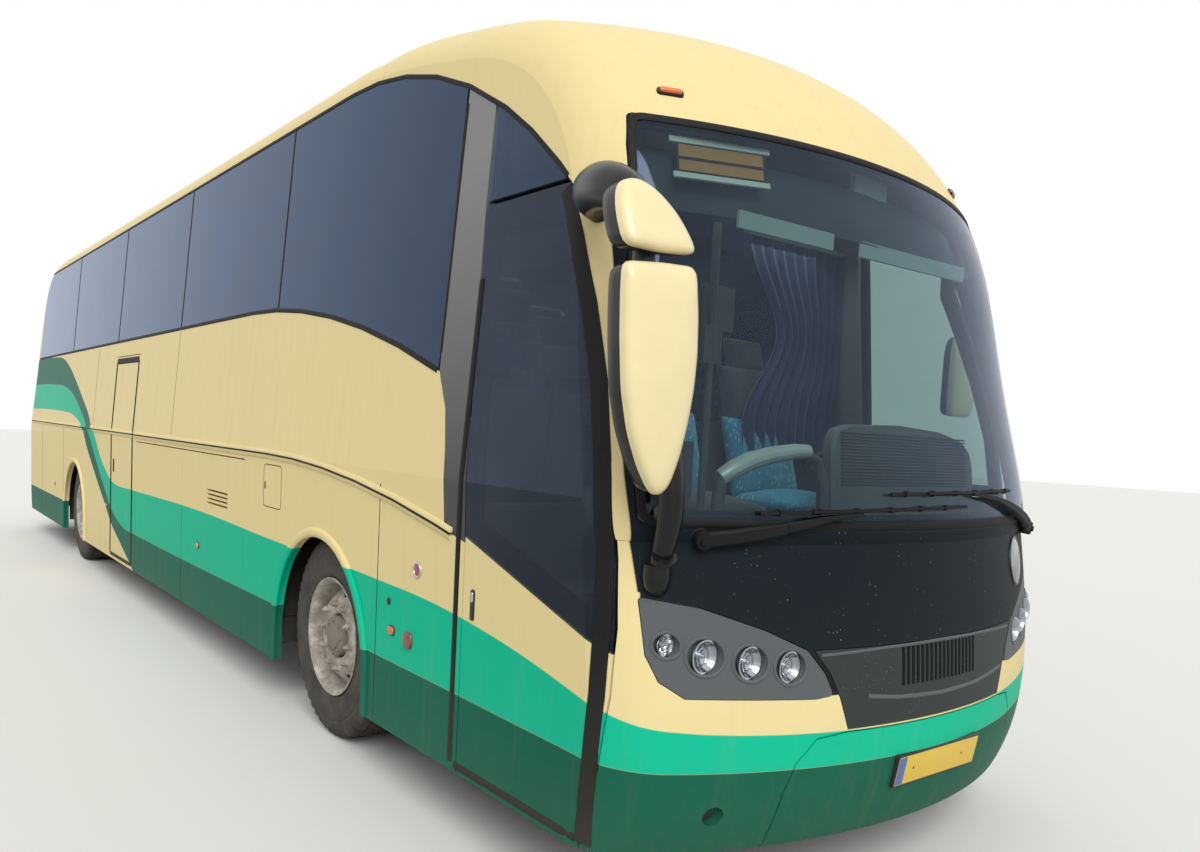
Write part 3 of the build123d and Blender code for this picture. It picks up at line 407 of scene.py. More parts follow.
def makePane(name, tint, mirror, haze=0.03, sky=srgb(196, 216, 250), clearFrom=None):
    # glass: a see-through sheet under its own gloss, with a little road haze; the gloss is a mirror coloured
    # with the sky tone, a painted reflection of a blue sky
    f = Finish(name, tint, 0.02, IOR=1.5)
    f.set("Roughness", 0.015 + f.cloud(2.0, 4.0, 0.6).above(0.55, 0.3) * 0.05)
    through = f.root.node("ShaderNodeBsdfTransparent", {}, {0: tint})
    if clearFrom is not None:
        # the driver's own pane is plain glass
        plain = f.root.node("ShaderNodeBsdfTransparent", {}, {0: srgb(206, 218, 216)})
        through = f.root.node(
            "ShaderNodeMixShader", {}, {0: f.x.above(clearFrom, 0.01), 1: through, 2: plain}
        )
    behind = f.root.node("ShaderNodeNewGeometry", {}, {}, out=6)
    gloss = f.root.node("ShaderNodeFresnel", {}, {0: 1.5}) * mirror * (1 - behind)
    film = f.cloud(1.7, 6.0, 0.65).above(0.5, 0.4) * haze
    f.set("Metallic", 1 - (film * 12.0).hold())
    coated = Wire(f.tree, f.shader.outputs[0])
    mixed = f.root.node("ShaderNodeMixShader", {}, {0: (gloss + film).hold(), 1: through, 2: coated})
    # the mirror's colour is the sky tone, a painted reflection of a blue sky, turned grey where the haze lies
    f.set("Base Color", (film * 6.0).hold().lay(srgb(120, 120, 116), sky))
    f.tree.links.new(mixed.socket, f.tree.nodes["Material Output"].inputs[0])
    return f.done()


def makeLens(name, colour):
    f = Finish(name, colour, 0.12, Coat_Weight=0.8, Coat_Roughness=0.04)
    ribs = f.ribs(55.0)
    f.set("Base Color", (ribs * 0.25).lay(darker(colour, 0.5), colour))
    f.bump(ribs, 0.0012, 0.6)
    return f.done()


def makeCloth(name, ground, figure, scale=36.0):
    # woven seat cloth: two tones in small dashes over a fine weave
    f = Finish(name, ground, 0.85, Sheen_Weight=0.3)
    dash = f.cells(scale, at=f.stretch(1.0, 1.0, 0.45)).below(0.28, 0.08)
    weave = f.ribs(260.0)
    colour = (dash * 0.8).lay(figure, ground)
    f.set("Base Color", (weave * 0.25).lay(darker(ground, 0.5), colour))
    f.bump(weave, 0.0007, 0.6)
    return f.done()


def makeTyre():
    f = Finish("tyreRubber", srgb(38, 37, 36), 0.8)
    patches = f.cloud(9.0, 6.0, 0.65)
    grime = (patches.above(0.42, 0.3) * 0.55 + f.cloud(120.0, 2.0, 0.6).above(0.6, 0.2) * 0.12).hold()
    f.set("Base Color", grime.lay(srgb(92, 86, 78), srgb(34, 33, 33)))
    f.set("Roughness", 0.72 + grime * 0.25)
    f.bump(f.cloud(160.0, 3.0, 0.6), 0.0008, 0.6)
    return f.done()


def makeWheelSteel():
    f = Finish("wheelSteel", srgb(170, 166, 157), 0.55, 0.2)
    grime = f.cloud(14.0, 6.0, 0.7)
    rust = f.cloud(30.0, 5.0, 0.7).above(0.66, 0.1)
    base = (grime.above(0.45, 0.25) * 0.7).lay(srgb(118, 109, 98), srgb(196, 191, 181))
    f.set("Base Color", (rust * 0.6).lay(srgb(84, 56, 38), base))
    f.set("Roughness", 0.45 + grime * 0.4)
    f.set("Metallic", 0.2 - rust * 0.2)
    f.bump(grime + f.cloud(90.0, 3.0, 0.6) * 0.5, 0.0016, 0.6)
    return f.done()


# rear lamps: the heights of their fields, and what lies where as shares of a field
tailFields = dict(heights=((0.83, 1.33), (2.42, 2.6)), amber=(0.62, 0.80), clear=(0.02, 0.16),
                  lines=(0.16, 0.40, 0.62, 0.80), halfLine=0.003)


def makeTail():
    # red, with an amber and a clear field, dark lines between them and fine ribs
    f = Finish("tailLens", tones["ruby"], 0.12, Coat_Weight=0.8, Coat_Roughness=0.04)
    colour = tones["ruby"]
    for low, high in tailFields["heights"]:
        span = high - low
        for key, tone in (("amber", srgb(226, 110, 18)), ("clear", srgb(210, 210, 206))):
            foot, head = tailFields[key]
            colour = f.z.within(low + span * foot, low + span * head, 0.002).lay(tone, colour)
        for share in tailFields["lines"]:
            at, half = low + span * share, tailFields["halfLine"]
            colour = f.z.within(at - half, at + half, 0.001).lay(srgb(20, 18, 18), colour)
    ribs, dots = (f.ribs(60.0, way) for way in "ZY")
    f.set("Base Color", (ribs * dots * 0.3).lay(srgb(60, 8, 8), colour))
    f.bump(ribs + dots, 0.001, 0.6)
    return f.done()


finishes = dict(
    livery=makeLivery("liveryPaint"), doorLivery=makeLivery("doorLivery", True), mask=makeMask(),
    shell=makePlain(
        "mirrorShell", srgb(240, 224, 172), 0.32, dust=0.1, low=1.5, Coat_Weight=0.5, Coat_Roughness=0.08
    ),
    pod=makePlain("podGrey", tones["podGrey"], 0.5, dust=0.25, low=1.4, Specular_IOR_Level=0.3),
    grille=makePlain(
        "grilleGrey", srgb(44, 53, 52), 0.5, speck=srgb(150, 148, 140), dust=0.1, low=1.4,
        Specular_IOR_Level=0.2
    ),
    seal=makePlain("sealRubber", srgb(22, 22, 23), 0.6, dust=0.2, Specular_IOR_Level=0.2),
    gloss=makePlain(
        "blackTrim", srgb(16, 17, 18), 0.3, dust=0.12, Specular_IOR_Level=0.3, Coat_Weight=0.25,
        Coat_Roughness=0.08
    ),
    silver=makePillarTrim(),
    # the sky tones given to the panes are painted reflections of a blue sky
    tinted=makePane("tintedPane", srgb(84, 96, 110), 1.25, 0.04, srgb(168, 198, 246), clearFrom=5.03),
    clear=makePane("clearPane", srgb(218, 228, 226), 0.8, 0.02),
    door=makePane("doorPane", srgb(168, 182, 182), 0.9, 0.03),
    lens=makePane("lampLens", srgb(236, 238, 240), 1.2, 0.02),
    chrome=makePlain("chrome", srgb(214, 216, 218), 0.12, 1.0, grain=0.0001, dust=0.05),
    red=makeLens("redLens", srgb(165, 16, 12)), tail=makeTail(),
    brown=makeLens("brownLens", srgb(120, 52, 26)), amber=makeLens("amberLens", srgb(226, 104, 14)),
    tyre=makeTyre(), wheel=makeWheelSteel(),
    chassis=makePlain("chassisPaint", srgb(46, 45, 43), 0.7, dust=0.5, low=1.3),
    cast=makePlain("castParts", srgb(72, 66, 60), 0.75, 0.3, dust=0.5, low=1.3),
    hub=makePlain("hubCover", srgb(128, 121, 111), 0.7, 0.15, dust=0.4, low=1.3),
    floor=makePlain("floorCover", srgb(104, 104, 108), 0.7, dust=0.1),
    dash=makePlain("dashPlastic", srgb(74, 76, 78), 0.6, dust=0.0),
    rack=makePlain("rackPlastic", srgb(150, 150, 148), 0.55, dust=0.0),
    rail=makePlain("handrailGrey", srgb(190, 195, 195), 0.34, 0.25, dust=0.0),
    cloth=makeCloth("seatCloth", srgb(34, 62, 96), srgb(150, 110, 60)),
    clothDark=makeCloth("headCloth", srgb(40, 44, 54), srgb(52, 58, 70), 50.0),
    podLight=makePlain("mirrorCase", srgb(150, 156, 158), 0.5, dust=0.0),
    visor=makePlain("visorCloth", srgb(164, 178, 182), 0.6, dust=0.0),
    guide=makeCloth("guideSeatCloth", srgb(28, 120, 150), srgb(120, 190, 205), 60.0),
    curtain=makeCloth("curtainCloth", srgb(26, 36, 70), srgb(30, 44, 84), 20.0),
    plate=makePlain("plateYellow", srgb(232, 196, 60), 0.4, dust=0.15, Coat_Weight=0.3),
    plateBlue=makePlain("plateBlue", srgb(80, 110, 170), 0.4, dust=0.15),
    white=makePlain("whitePlastic", srgb(222, 222, 214), 0.5, dust=0.0),
    amberSlats=makePlain("signSlats", srgb(190, 132, 58), 0.6, speck=srgb(232, 196, 122), dust=0.0),
    ovalGlass=makePlain("ovalGlass", srgb(150, 154, 156), 0.14, 0.5, dust=0.3, low=1.5),
    # the white specks on this plate behind the grille slots are painted glints
    slotShine=makePlain("slotShine", srgb(120, 122, 124), 0.18, 0.8, speck=srgb(245, 245, 240), dust=0.1),
    header=makePlain("headerPanel", srgb(46, 54, 64), 0.6, dust=0.0),
    hood=makePlain("dashHood", srgb(84, 88, 90), 0.6, dust=0.0),
    mirrorGlass=makePlain("mirrorGlass", srgb(200, 205, 208), 0.04, 1.0, grain=0.00002, dust=0.05),
)

# the finish of each solid of the frame
nodeFinish = dict(
    livery="roof_shell side_panels skirts front_bumper rear_panel engine_lid mid_door flap_left_front "
           "flap_left_rear flap_right_front flap_right_rear",
    doorLivery="front_door",
    shell="mirrors",
    mask="front_mask",
    seal="window_frames wipers",
    silver="pillar_trims",
    grille="grille_panel",
    pod="headlamp_pods",
    chrome="headlamps",
    tail="tail_lamps",
    tinted="cabin_glass",
    clear="windscreen",
    door="front_door_glass",
    floor="floor_deck steps luggage_hold",
    chassis="chassis_frame tow_beam",
    cast="engine_block front_axle rear_axle knuckle_left knuckle_right",
    tyre="front_tyre_left front_tyre_right rear_tyres_left rear_tyres_right",
    wheel="front_rim_left front_rim_right rear_rims_left rear_rims_right",
    dash="dashboard",
    cloth="seats",
    rack="luggage_racks",
)
for kind, names in nodeFinish.items():
    for name in names.split():
        for holder in nodes[name].material_slots:
            holder.material = finishes[kind]
print("finishes: made", len(finishes))


def angles(count):
    return [2 * math.pi * k / count for k in range(count)]


# an axis with two directions across it
def crossWays(axis):
    axis = Vector(axis).normalized()
    first = axis.orthogonal().normalized()
    return axis, first, axis.cross(first)


class Shape:
    # points and faces gathered into one mesh, each face with the finish it takes
    def __init__(self):
        self.points = []
        self.faces = []
        self.marks = []
        self.mark = 0

    def paint(self, mark):
        self.mark = mark
        return self

    def add(self, points, faces):
        base = len(self.points)
        self.points += [Vector(p) for p in points]
        self.faces += [tuple(base + i for i in face) for face in faces]
        self.marks += [self.mark] * len(faces)
        return self

    # rows of points joined into a skin: ring closes each row, closed joins the last row to the first
    def loft(self, rows, ring=True, closed=False, caps=True):
        wide = len(rows[0])
        faces = []
        for r in range(len(rows) if closed else len(rows) - 1):
            s = (r + 1) % len(rows)
            for c in range(wide if ring else wide - 1):
                d = (c + 1) % wide
                faces.append((r * wide + c, r * wide + d, s * wide + d, s * wide + c))
        if ring and caps and not closed:
            faces += [tuple(range(wide)), tuple((len(rows) - 1) * wide + c for c in range(wide))]
        return self.add([p for row in rows for p in row], faces)

    # a profile of (radius, height) turned about an axis
    def lathe(self, profile, centre, axis, count=48, ring=False, wave=None):
        axis, first, second = crossWays(axis)
        rows = []
        for i, angle in enumerate(angles(count)):
            way = first * math.cos(angle) + second * math.sin(angle)
            turned = profile if wave is None else [wave(i, r, h) for r, h in profile]
            rows.append([Vector(centre) + way * r + axis * h for r, h in turned])
        return self.loft(rows, ring=ring, closed=True)

    # a round bar along a path, of one radius or one for each point
    def tube(self, path, radius, count=10):
        path = [Vector(p) for p in path]
        side = None
        rows = []
        for i, place in enumerate(path):
            along = (path[min(i + 1, len(path) - 1)] - path[max(i - 1, 0)]).normalized()
            side = along.orthogonal() if side is None else side - along * side.dot(along)
            side.normalize()
            over = along.cross(side)
            size = radius[i] if isinstance(radius, list) else radius
            rows.append(
                [place + side * (size * math.cos(t)) + over * (size * math.sin(t)) for t in angles(count)]
            )
        return self.loft(rows)

    # a profile of (across, outward) swept along a path that lies on a surface
    def ribbon(self, path, normals, profile, closed=False):
        rows = []
        n = len(path)
        for i in range(n):
            a = path[(i - 1) % n] if closed or i else path[i]
            b = path[(i + 1) % n] if closed or i < n - 1 else path[i]
            along = (b - a).normalized()
            out = (normals[i] - along * normals[i].dot(along)).normalized()
            across = out.cross(along)
            rows.append([path[i] + across * u + out * v for u, v in profile])
        return self.loft(rows, closed=closed)

    def slab(self, outline, offset):
        rows = [[Vector(p) for p in outline], [Vector(p) + Vector(offset) for p in outline]]
        return self.loft(rows)

    def block(self, low, high):
        (a, b, c), (d, e, f) = low, high
        return self.slab([(a, b, c), (d, b, c), (d, e, c), (a, e, c)], (0, 0, f - c))


def build(name, shape, kinds, body="body", bevel=0, smooth=38, replaces=()):
    mesh = bpy.data.meshes.new(name)
    mesh.from_pydata(shape.points, [], shape.faces)
    for kind in kinds.split():
        mesh.materials.append(finishes[kind])
    for polygon, mark in zip(mesh.polygons, shape.marks):
        polygon.material_index = mark
    tidy = bmesh.new()
    tidy.from_mesh(mesh)
    bmesh.ops.remove_doubles(tidy, verts=tidy.verts, dist=0.00002)
    bmesh.ops.recalc_face_normals(tidy, faces=tidy.faces)
    tidy.to_mesh(mesh)
    tidy.free()
    for polygon in mesh.polygons:
        polygon.use_smooth = True
    mesh.set_sharp_from_angle(angle=math.radians(smooth))
    piece = bpy.data.objects.new(name, mesh)
    bpy.context.collection.objects.link(piece)
    if bevel:
        edge = piece.modifiers.new("edge", "BEVEL")
        edge.width = bevel
        edge.segments = 2
        edge.harden_normals = True
    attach(piece, body)
    if replaces:
        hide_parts(*replaces)
    return piece


class Skin:
    # the coach's outer surface, that outlines are cast onto; a view is (eye, way, its two drawn axes)
    views = dict(
        front=((9, 0, 0), (-1, 0, 0), 1, 2), rear=((-9, 0, 0), (1, 0, 0), 1, 2),
        top=((0, 0, 6), (0, 0, -1), 0, 1), right=((0, -3, 0), (0, 1, 0), 0, 2),
        left=((0, 3, 0), (0, -1, 0), 0, 2),
    )
    beside, deepest = 0.012, 3.9

    def __init__(self, names):
        points, faces = [], []
        for name in names:
            mesh = nodes[name].data
            base = len(points)
            points += [v.co.copy() for v in mesh.vertices]
            faces += [tuple(base + i for i in p.vertices) for p in mesh.polygons]
        self.tree = BVHTree.FromPolygons(points, faces)

    # place and outward normal of one point of a view; a point in a narrow gap looks beside it
    def cast(self, view, u, v):
        start, way, first, second = self.views[view]
        way, off = Vector(way), self.beside
        for du, dv in ((0, 0), (off, 0), (-off, 0), (0, off), (0, -off)):
            eye = Vector(start)
            eye[first] = u + du
            eye[second] = v + dv
            place, normal, index, distance = self.tree.ray_cast(eye, way)
            if place is not None and distance < self.deepest:
                return place, -normal if normal.dot(way) > 0 else normal
        return None

    # an outline in a view laid on the surface; a point that falls in a gap takes its neighbour's depth
    def lay(self, view, points, closed=False, step=0.05, radius=0.0):
        start, way, first, second = self.views[view]
        drawn = spaced(rounded(points, radius, closed), step, closed)
        found = [self.cast(view, u, v) for u, v in drawn]
        known = [i for i, f in enumerate(found) if f]
        path, normals = [], []
        for i, (u, v) in enumerate(drawn):
            near = found[i] or found[min(known, key=lambda k: abs(k - i))]
            place = near[0].copy()
            place[first] = u
            place[second] = v
            path.append(place)
            normals.append(near[1])
        smooth = []
        for i in range(len(path)):
            around = [normals[j % len(path)] for j in range(i - 2, i + 3) if closed or 0 <= j < len(path)]
            smooth.append(sum(around, Vector()).normalized())
        return path, smooth


# a line cut into even steps
def spaced(points, step, closed=False):
    line = [Vector(p) for p in points]
    if closed:
        line.append(line[0])
    out = []
    for a, b in zip(line, line[1:]):
        count = max(1, math.ceil((b - a).length / step))
        out += [a.lerp(b, i / count) for i in range(count)]
    return out if closed else out + [line[-1]]


# corners of a drawn outline turned into short curves
def rounded(points, radius, closed, count=5):
    line = [Vector(p) for p in points]
    if radius <= 0:
        return line
    out = []
    for i, corner in enumerate(line):
        if not closed and i in (0, len(line) - 1):
            out.append(corner)
            continue
        a, b = line[i - 1], line[(i + 1) % len(line)]
        start = corner + (a - corner).normalized() * min(radius, (a - corner).length / 2)
        end = corner + (b - corner).normalized() * min(radius, (b - corner).length / 2)
        for k in range(count + 1):
            t = k / count
            out.append(start * (1 - t) ** 2 + corner * (2 * t * (1 - t)) + end * t**2)
    return out


# a smooth line through the given points, with a size at each
def flowing(points, sizes, steps=4):
    line = [Vector((*p, size)) for p, size in zip(points, sizes)]
    line = [line[0] * 2 - line[1]] + line + [line[-1] * 2 - line[-2]]
    out = []
    for a, b, c, d in zip(line, line[1:], line[2:], line[3:]):
        for k in range(steps):
            t = k / steps
            turn = (b * 3 - a - c * 3 + d) * t**3
            out.append((b * 2 + (c - a) * t + (a * 2 - b * 5 + c * 4 - d) * t**2 + turn) * 0.5)
    out.append(line[-2])
    return [p.xyz for p in out], [p.w for p in out]


# four corners round a centre, from half sizes
def corners(wide, tall, centre=(0, 0)):
    return [(centre[0] + a * wide, centre[1] + b * tall) for a, b in ((-1, -1), (1, -1), (1, 1), (-1, 1))]


def ellipse(centre, wide, tall, count):
    return [(centre[0] + wide * math.cos(t), centre[1] + tall * math.sin(t)) for t in angles(count)]


def domed(width, height, sink=0.004):
    # cross-section of a rounded strip that sits on a surface
    w = width / 2
    side = [(w, -sink), (w, height * 0.4), (w * 0.72, height * 0.85), (w * 0.3, height)]
    return [(-u, v) for u, v in side] + side[::-1]


def strip(shape, view, points, width, height, closed=False, radius=0.0, step=0.05):
    path, normals = skin.lay(view, points, closed, step, radius)
    return shape.ribbon(path, normals, domed(width, height), closed)


# a flat-backed pad with rounded corners, laid at one place of a view and turned to the surface there
def pad(shape, view, at, size, depth, radius=0.012, sink=0.006, lift=0.0, shift=(0, 0)):
    place, normal = skin.cast(view, *at)
    up = Vector((0, 0, 1)) if view != "top" else Vector((1, 0, 0))
    level = up.cross(normal).normalized()
    over = normal.cross(level)
    place = place + level * shift[0] + over * shift[1]
    half = Vector(size) / 2
    flat = rounded(corners(half.x, half.y), radius, True, 4)
    rows = []
    for height, inset in (
        (-sink, 0.0), (lift + depth * 0.5, 0.0), (lift + depth * 0.87, 0.25), (lift + depth, 0.8)
    ):
        a, b = 1 - inset * depth / half.x, 1 - inset * depth / half.y
        rows.append([place + level * (p.x * a) + over * (p.y * b) + normal * height for p in flat])
    return shape.loft(rows)


# copies of an outline of (across, height), each at a place along X and a share of its size, leaning back
def rings(outline, places, lean=0.0, foot=0.0):
    centre = sum((Vector(p) for p in outline), Vector((0, 0))) / len(outline)
    rows = []
    for x, share in places:
        drawn = [centre + (Vector(p) - centre) * share for p in outline]
        rows.append([Vector((x - lean * (q.y - foot), q.x, q.y)) for q in drawn])
    return rows


# a cover that swells ahead from its outline
def swell(shape, outline, place, rise, lean=0.0, foot=0.0, power=3.6):
    shares = (1.0, 0.994, 0.975, 0.94, 0.88, 0.78, 0.6, 0.35, 0.12)
    places = [(place + rise * max(0.0, 1 - share**power) ** (1 / power), share) for share in shares]
    return shape.loft(rings(outline, places, lean, foot))


outerNodes = (
    "roof_shell cabin_glass windscreen pillar_trims side_panels skirts front_mask front_bumper "
    "grille_panel headlamp_pods rear_panel engine_lid tail_lamps front_door front_door_glass "
    "mid_door flap_right_front flap_right_rear flap_left_front flap_left_rear"
)
skin = Skin(outerNodes.split())
sides = ("right", "left")


def heightAt(line, x):
    for (a, za), (b, zb) in zip(line, line[1:]):
        if a <= x <= b:
            return za + (zb - za) * (x - a) / (b - a)
    return line[0][1] if x < line[0][0] else line[-1][1]


# the part of a line between two places along X
def between(line, low, high):
    first, last = ((x, heightAt(line, x)) for x in (low, high))
    return [first] + [p for p in line if low < p[0] < high] + [last]


# belt: a painted ridge with a black line along it, in stretches that leave the mid door free; the black line
# is a painted shadow, standing for the shade line under the waist panel's edge
belt = dict(
    ridge=(0.052, 0.011), line=(0.013, 0.0155), ends=(-6.0, 5.012), door=(-1.262, -0.408),
    gap=(-1.282, -0.345)
)
stretches = [("left", belt["ends"], "body"), ("right", (belt["ends"][0], belt["gap"][0]), "body"),
             ("right", belt["door"], "mid_door"), ("right", (belt["gap"][1], belt["ends"][1]), "body")]
for number, (view, (low, high), body) in enumerate(stretches):
    ridge = Shape()
    line = between(beltLine, low, high)
    strip(ridge, view, line, *belt["ridge"], step=0.12)
    # the black line along the ridge is painted shadow: a dark strip for the waist panel's shade line
    strip(ridge.paint(1), view, line, *belt["line"], step=0.12)
    build("beltRail%d" % number, ridge, "livery seal", body)

# seals of the side glass: upright joints, foot, head and the post before the door
glazing = dict(
    joint=(0.015, 0.003), short=0.01, foot=(0.024, 0.004), footEnds=(-5.84, 4.78), head=(0.02, 0.004),
    headEnds=(-5.7, 5.56), post=[(4.796, 1.93), (4.806, 2.93)], postSize=(0.016, 0.003)
)
seals = Shape()
for view in sides:
    for x in coach["windowJoints"]:
        joint = [(x, heightAt(sillLine, x)), (x, heightAt(topLine, x) - glazing["short"])]
        strip(seals, view, joint, *glazing["joint"], step=0.1)
    strip(seals, view, between(sillLine, *glazing["footEnds"]), *glazing["foot"], step=0.1)
    strip(seals, view, between(topLine, *glazing["headEnds"]), *glazing["head"], step=0.1)
    strip(seals, view, glazing["post"], *glazing["postSize"], step=0.1)
build("sideGlassSeals", seals, "seal")

# gaskets just inside the edges of the windscreen and the rear window
gasket = dict(
    size=(0.03, 0.006), screenCorner=0.02,
    rear=[(-0.914, 2.344), (0.914, 2.344), (0.892, 3.026), (-0.892, 3.026)], rearCorner=0.1,
    screen=[
        (1.168, 1.366), (1.182, 1.4), (1.18, 1.5), (1.168, 1.7), (1.152, 1.9), (1.136, 2.1), (1.112, 2.3),
        (1.088, 2.5), (1.064, 2.65), (1.05, 2.694), (1.03, 2.71)
    ],
)
gaskets = Shape()
screen = gasket["screen"] + [(-y, z) for y, z in reversed(gasket["screen"])]
for view, outline, corner in (
    ("front", screen, gasket["screenCorner"]), ("rear", gasket["rear"], gasket["rearCorner"])
):
    strip(gaskets, view, outline, *gasket["size"], closed=True, radius=corner, step=0.04)
build("screenGaskets", gaskets, "seal")

# rounded lips of the wheel arches as (centre, half width, crown), and dark ribbed liners over the wheels
arches = dict(front=(3.66, 0.59, 1.045), rear=(-3.05, 0.58, 1.05), clear=0.012, foot=0.272, lip=(0.05, 0.016),
              liner=0.652, sheet=0.004, inner=0.60, outer=1.215, rib=0.006, ribSink=0.003)
lips, liners = Shape(), Shape()
for centre, half, crown in (arches["front"], arches["rear"]):
    reach = half + arches["clear"]
    arc = [
        (centre + reach * math.cos(t), crown - half + reach * math.sin(t))
        for t in (math.pi * k / 28 for k in range(29))
    ]
    outline = [(centre + reach, arches["foot"])] + arc + [(centre - reach, arches["foot"])]
    for view in sides:
        strip(lips, view, outline, *arches["lip"])
sweep = [math.radians(-14 + 208 * k / 32) for k in range(33)]
edges = [
    (arches["inner"], 0), (arches["outer"], 0), (arches["outer"], arches["sheet"]),
    (arches["inner"], arches["sheet"])
]


def linerPoint(axle, side, t, y, r):
    return Vector((axle + r * math.cos(t), side * y, coach["hubZ"] + r * math.sin(t)))


for axle in (coach["frontAxle"], coach["rearAxle"]):
    for side in (-1, 1):
        liners.loft([[linerPoint(axle, side, t, y, r + arches["liner"]) for y, r in edges] for t in sweep])
        for t in sweep[::2]:
            place = linerPoint(axle, side, t, arches["inner"], arches["liner"] - arches["ribSink"])
            across = Vector((0, side * (arches["outer"] - arches["inner"]), 0))
            liners.tube([place, place + across], arches["rib"], 5)
build("archLips", lips, "livery")
build("archLiners", liners, "seal")
print("outside: belt, seals and arches")

# tyres: four zigzag grooves, notched shoulders, moulded rings on the sidewall
tyre = dict(
    pitches=52, grooves=(-0.078, -0.027, 0.027, 0.078), grooveTop=0.0065, grooveFoot=0.004, depth=0.0125,
    zigzag=0.0035, notch=0.011, shoulder=0.488, treadFrom=0.505, halfTread=0.1, crown=0.5215,
    bead=[(0.293, 0.06), (0.293, -0.06)],
    side=[
        (0.289, 0.110), (0.297, 0.124), (0.318, 0.1365), (0.334, 0.1405), (0.3375, 0.1388), (0.36, 0.1428),
        (0.40, 0.1448), (0.428, 0.1438), (0.431, 0.1415), (0.446, 0.1415), (0.449, 0.1432), (0.468, 0.1395),
        (0.49, 0.1335), (0.506, 0.127), (0.5165, 0.1175), (0.5205, 0.106)
    ],
)
tread = [(r, -w) for r, w in tyre["side"]]
crown, grooveFloor = tyre["crown"], tyre["crown"] - tyre["depth"]
for groove in tyre["grooves"]:
    tread += [(crown, groove - tyre["grooveTop"]), (grooveFloor, groove - tyre["grooveFoot"]),
              (grooveFloor, groove + tyre["grooveFoot"]), (crown, groove + tyre["grooveTop"])]
tread += tyre["side"][::-1] + tyre["bead"]


def treadWave(i, r, h):
    # alternate steps round the tyre: shoulder notches, and grooves that lean one way and then the other
    turned = i % 4 > 1
    if r > tyre["shoulder"] and abs(h) > tyre["halfTread"]:
        return r - (tyre["notch"] if turned else 0), h
    if r > tyre["treadFrom"] and abs(h) < tyre["halfTread"]:
        return r, h + (tyre["zigzag"] if turned else -tyre["zigzag"])
    return r, h


# steel rims: barrel, disc with oval hand holes, wheel nuts and hub, as profiles of (radius, height)
rim = dict(
    holes=10, holeAt=0.228, holeSize=(0.0215, 0.027), ring=(0.196, 0.260), slope=0.064, sheet=0.011,
    boltAt=0.1675, washer=[(0.0, 0.006), (0.022, 0.005), (0.023, 0.0), (0.023, -0.004)],
    nut=[(0.0, 0.026), (0.0165 * 0.8, 0.026), (0.0165, 0.022), (0.0165, 0.0)],
    stud=[(0.0, 0.037), (0.009, 0.036), (0.010, 0.033), (0.010, 0.02)],
    barrel=[
        (0.2865, 0.1), (0.289, 0.122), (0.298, 0.13), (0.3035, 0.135), (0.3035, 0.1405), (0.299, 0.142),
        (0.291, 0.138), (0.281, 0.128), (0.2745, 0.115), (0.271, 0.08)
    ],
)
barrel = rim["barrel"] + [(r, -w) for r, w in reversed(rim["barrel"])]
wheels = dict(
    front=dict(
        axle=coach["frontAxle"], names=("front_wheel_", "front_tyre_", "front_rim_"),
        across=(coach["frontTrack"],), face=(0.046, 0.056), nutsAt=0.1045,
        edge=[
            (0.273, 0.028), (0.2735, 0.036), (0.268, 0.0425), (0.2595, 0.0462), (0.2595, 0.0352),
            (0.27, 0.026)
        ],
        disc=[
            (0.1965, 0.1015), (0.19, 0.1045), (0.135, 0.1045), (0.128, 0.102), (0.118, 0.099), (0.112, 0.091),
            (0.112, 0.075), (0.1965, 0.0905)
        ],
        hub=[
            (0.0, 0.140), (0.052, 0.1395), (0.066, 0.135), (0.07, 0.127), (0.088, 0.125), (0.101, 0.121),
            (0.1035, 0.115), (0.1035, 0.03), (0.052, 0.02), (0.052, -0.06)
        ],
        bolts=8, boltAt=(0.085, 0.1245), bolt=[(0, 0.009), (0.0085, 0.009), (0.0095, 0.0075), (0.0095, 0)],
    ),
    rear=dict(
        axle=coach["rearAxle"], names=("rear_wheels_", "rear_tyres_", "rear_rims_"),
        across=(coach["frontTrack"], coach["twinInner"]), face=(-0.098, -0.037), nutsAt=-0.137,
        edge=[
            (0.273, -0.083), (0.2735, -0.09), (0.268, -0.0945), (0.2595, -0.0975), (0.2595, -0.108),
            (0.27, -0.102)
        ],
        disc=[(0.1965, -0.1345), (0.19, -0.137), (0.125, -0.137), (0.125, -0.15), (0.1965, -0.146)],
        hub=[
            (0.0, -0.012), (0.062, -0.012), (0.066, -0.016), (0.094, -0.017), (0.113, -0.021),
            (0.1185, -0.03), (0.1185, -0.066), (0.1125, -0.07), (0.1125, -0.14), (0.062, -0.15)
        ],
        bolts=12, boltAt=(0.088, -0.0175), bolt=[(0, 0.009), (0.0095, 0.009), (0.011, 0.0075), (0.011, 0)],
    ),
)


# the ring of hand holes in a wheel disc, one piece for each hole; face is (height at its outer edge, rise)
def holedRing(shape, centre, axis, face):
    axis, first, second = crossWays(axis)
    inner, outer = rim["ring"]
    middle, wide = (inner + outer) / 2, (outer - inner) / 2
    sector = math.pi / rim["holes"]
    for s in range(rim["holes"]):
        rows = [[], [], [], []]
        for t in angles(24):
            most = max(abs(math.cos(t)), abs(math.sin(t)))
            edge = (middle + wide * math.cos(t) / most, 2 * sector * s + sector * math.sin(t) / most)
            hole = (rim["holeAt"] + rim["holeSize"][0] * math.cos(t),
                    2 * sector * s + rim["holeSize"][1] / rim["holeAt"] * math.sin(t))
            for row, (r, turn), sink in (
                (0, edge, 0), (1, hole, 0), (2, hole, rim["sheet"]), (3, edge, rim["sheet"])
            ):
                height = face[0] + (outer - r) / rim["slope"] * face[1] - sink
                rows[row].append(
                    Vector(centre) + (first * math.cos(turn) + second * math.sin(turn)) * r + axis * height
                )
        shape.loft(rows, caps=False)


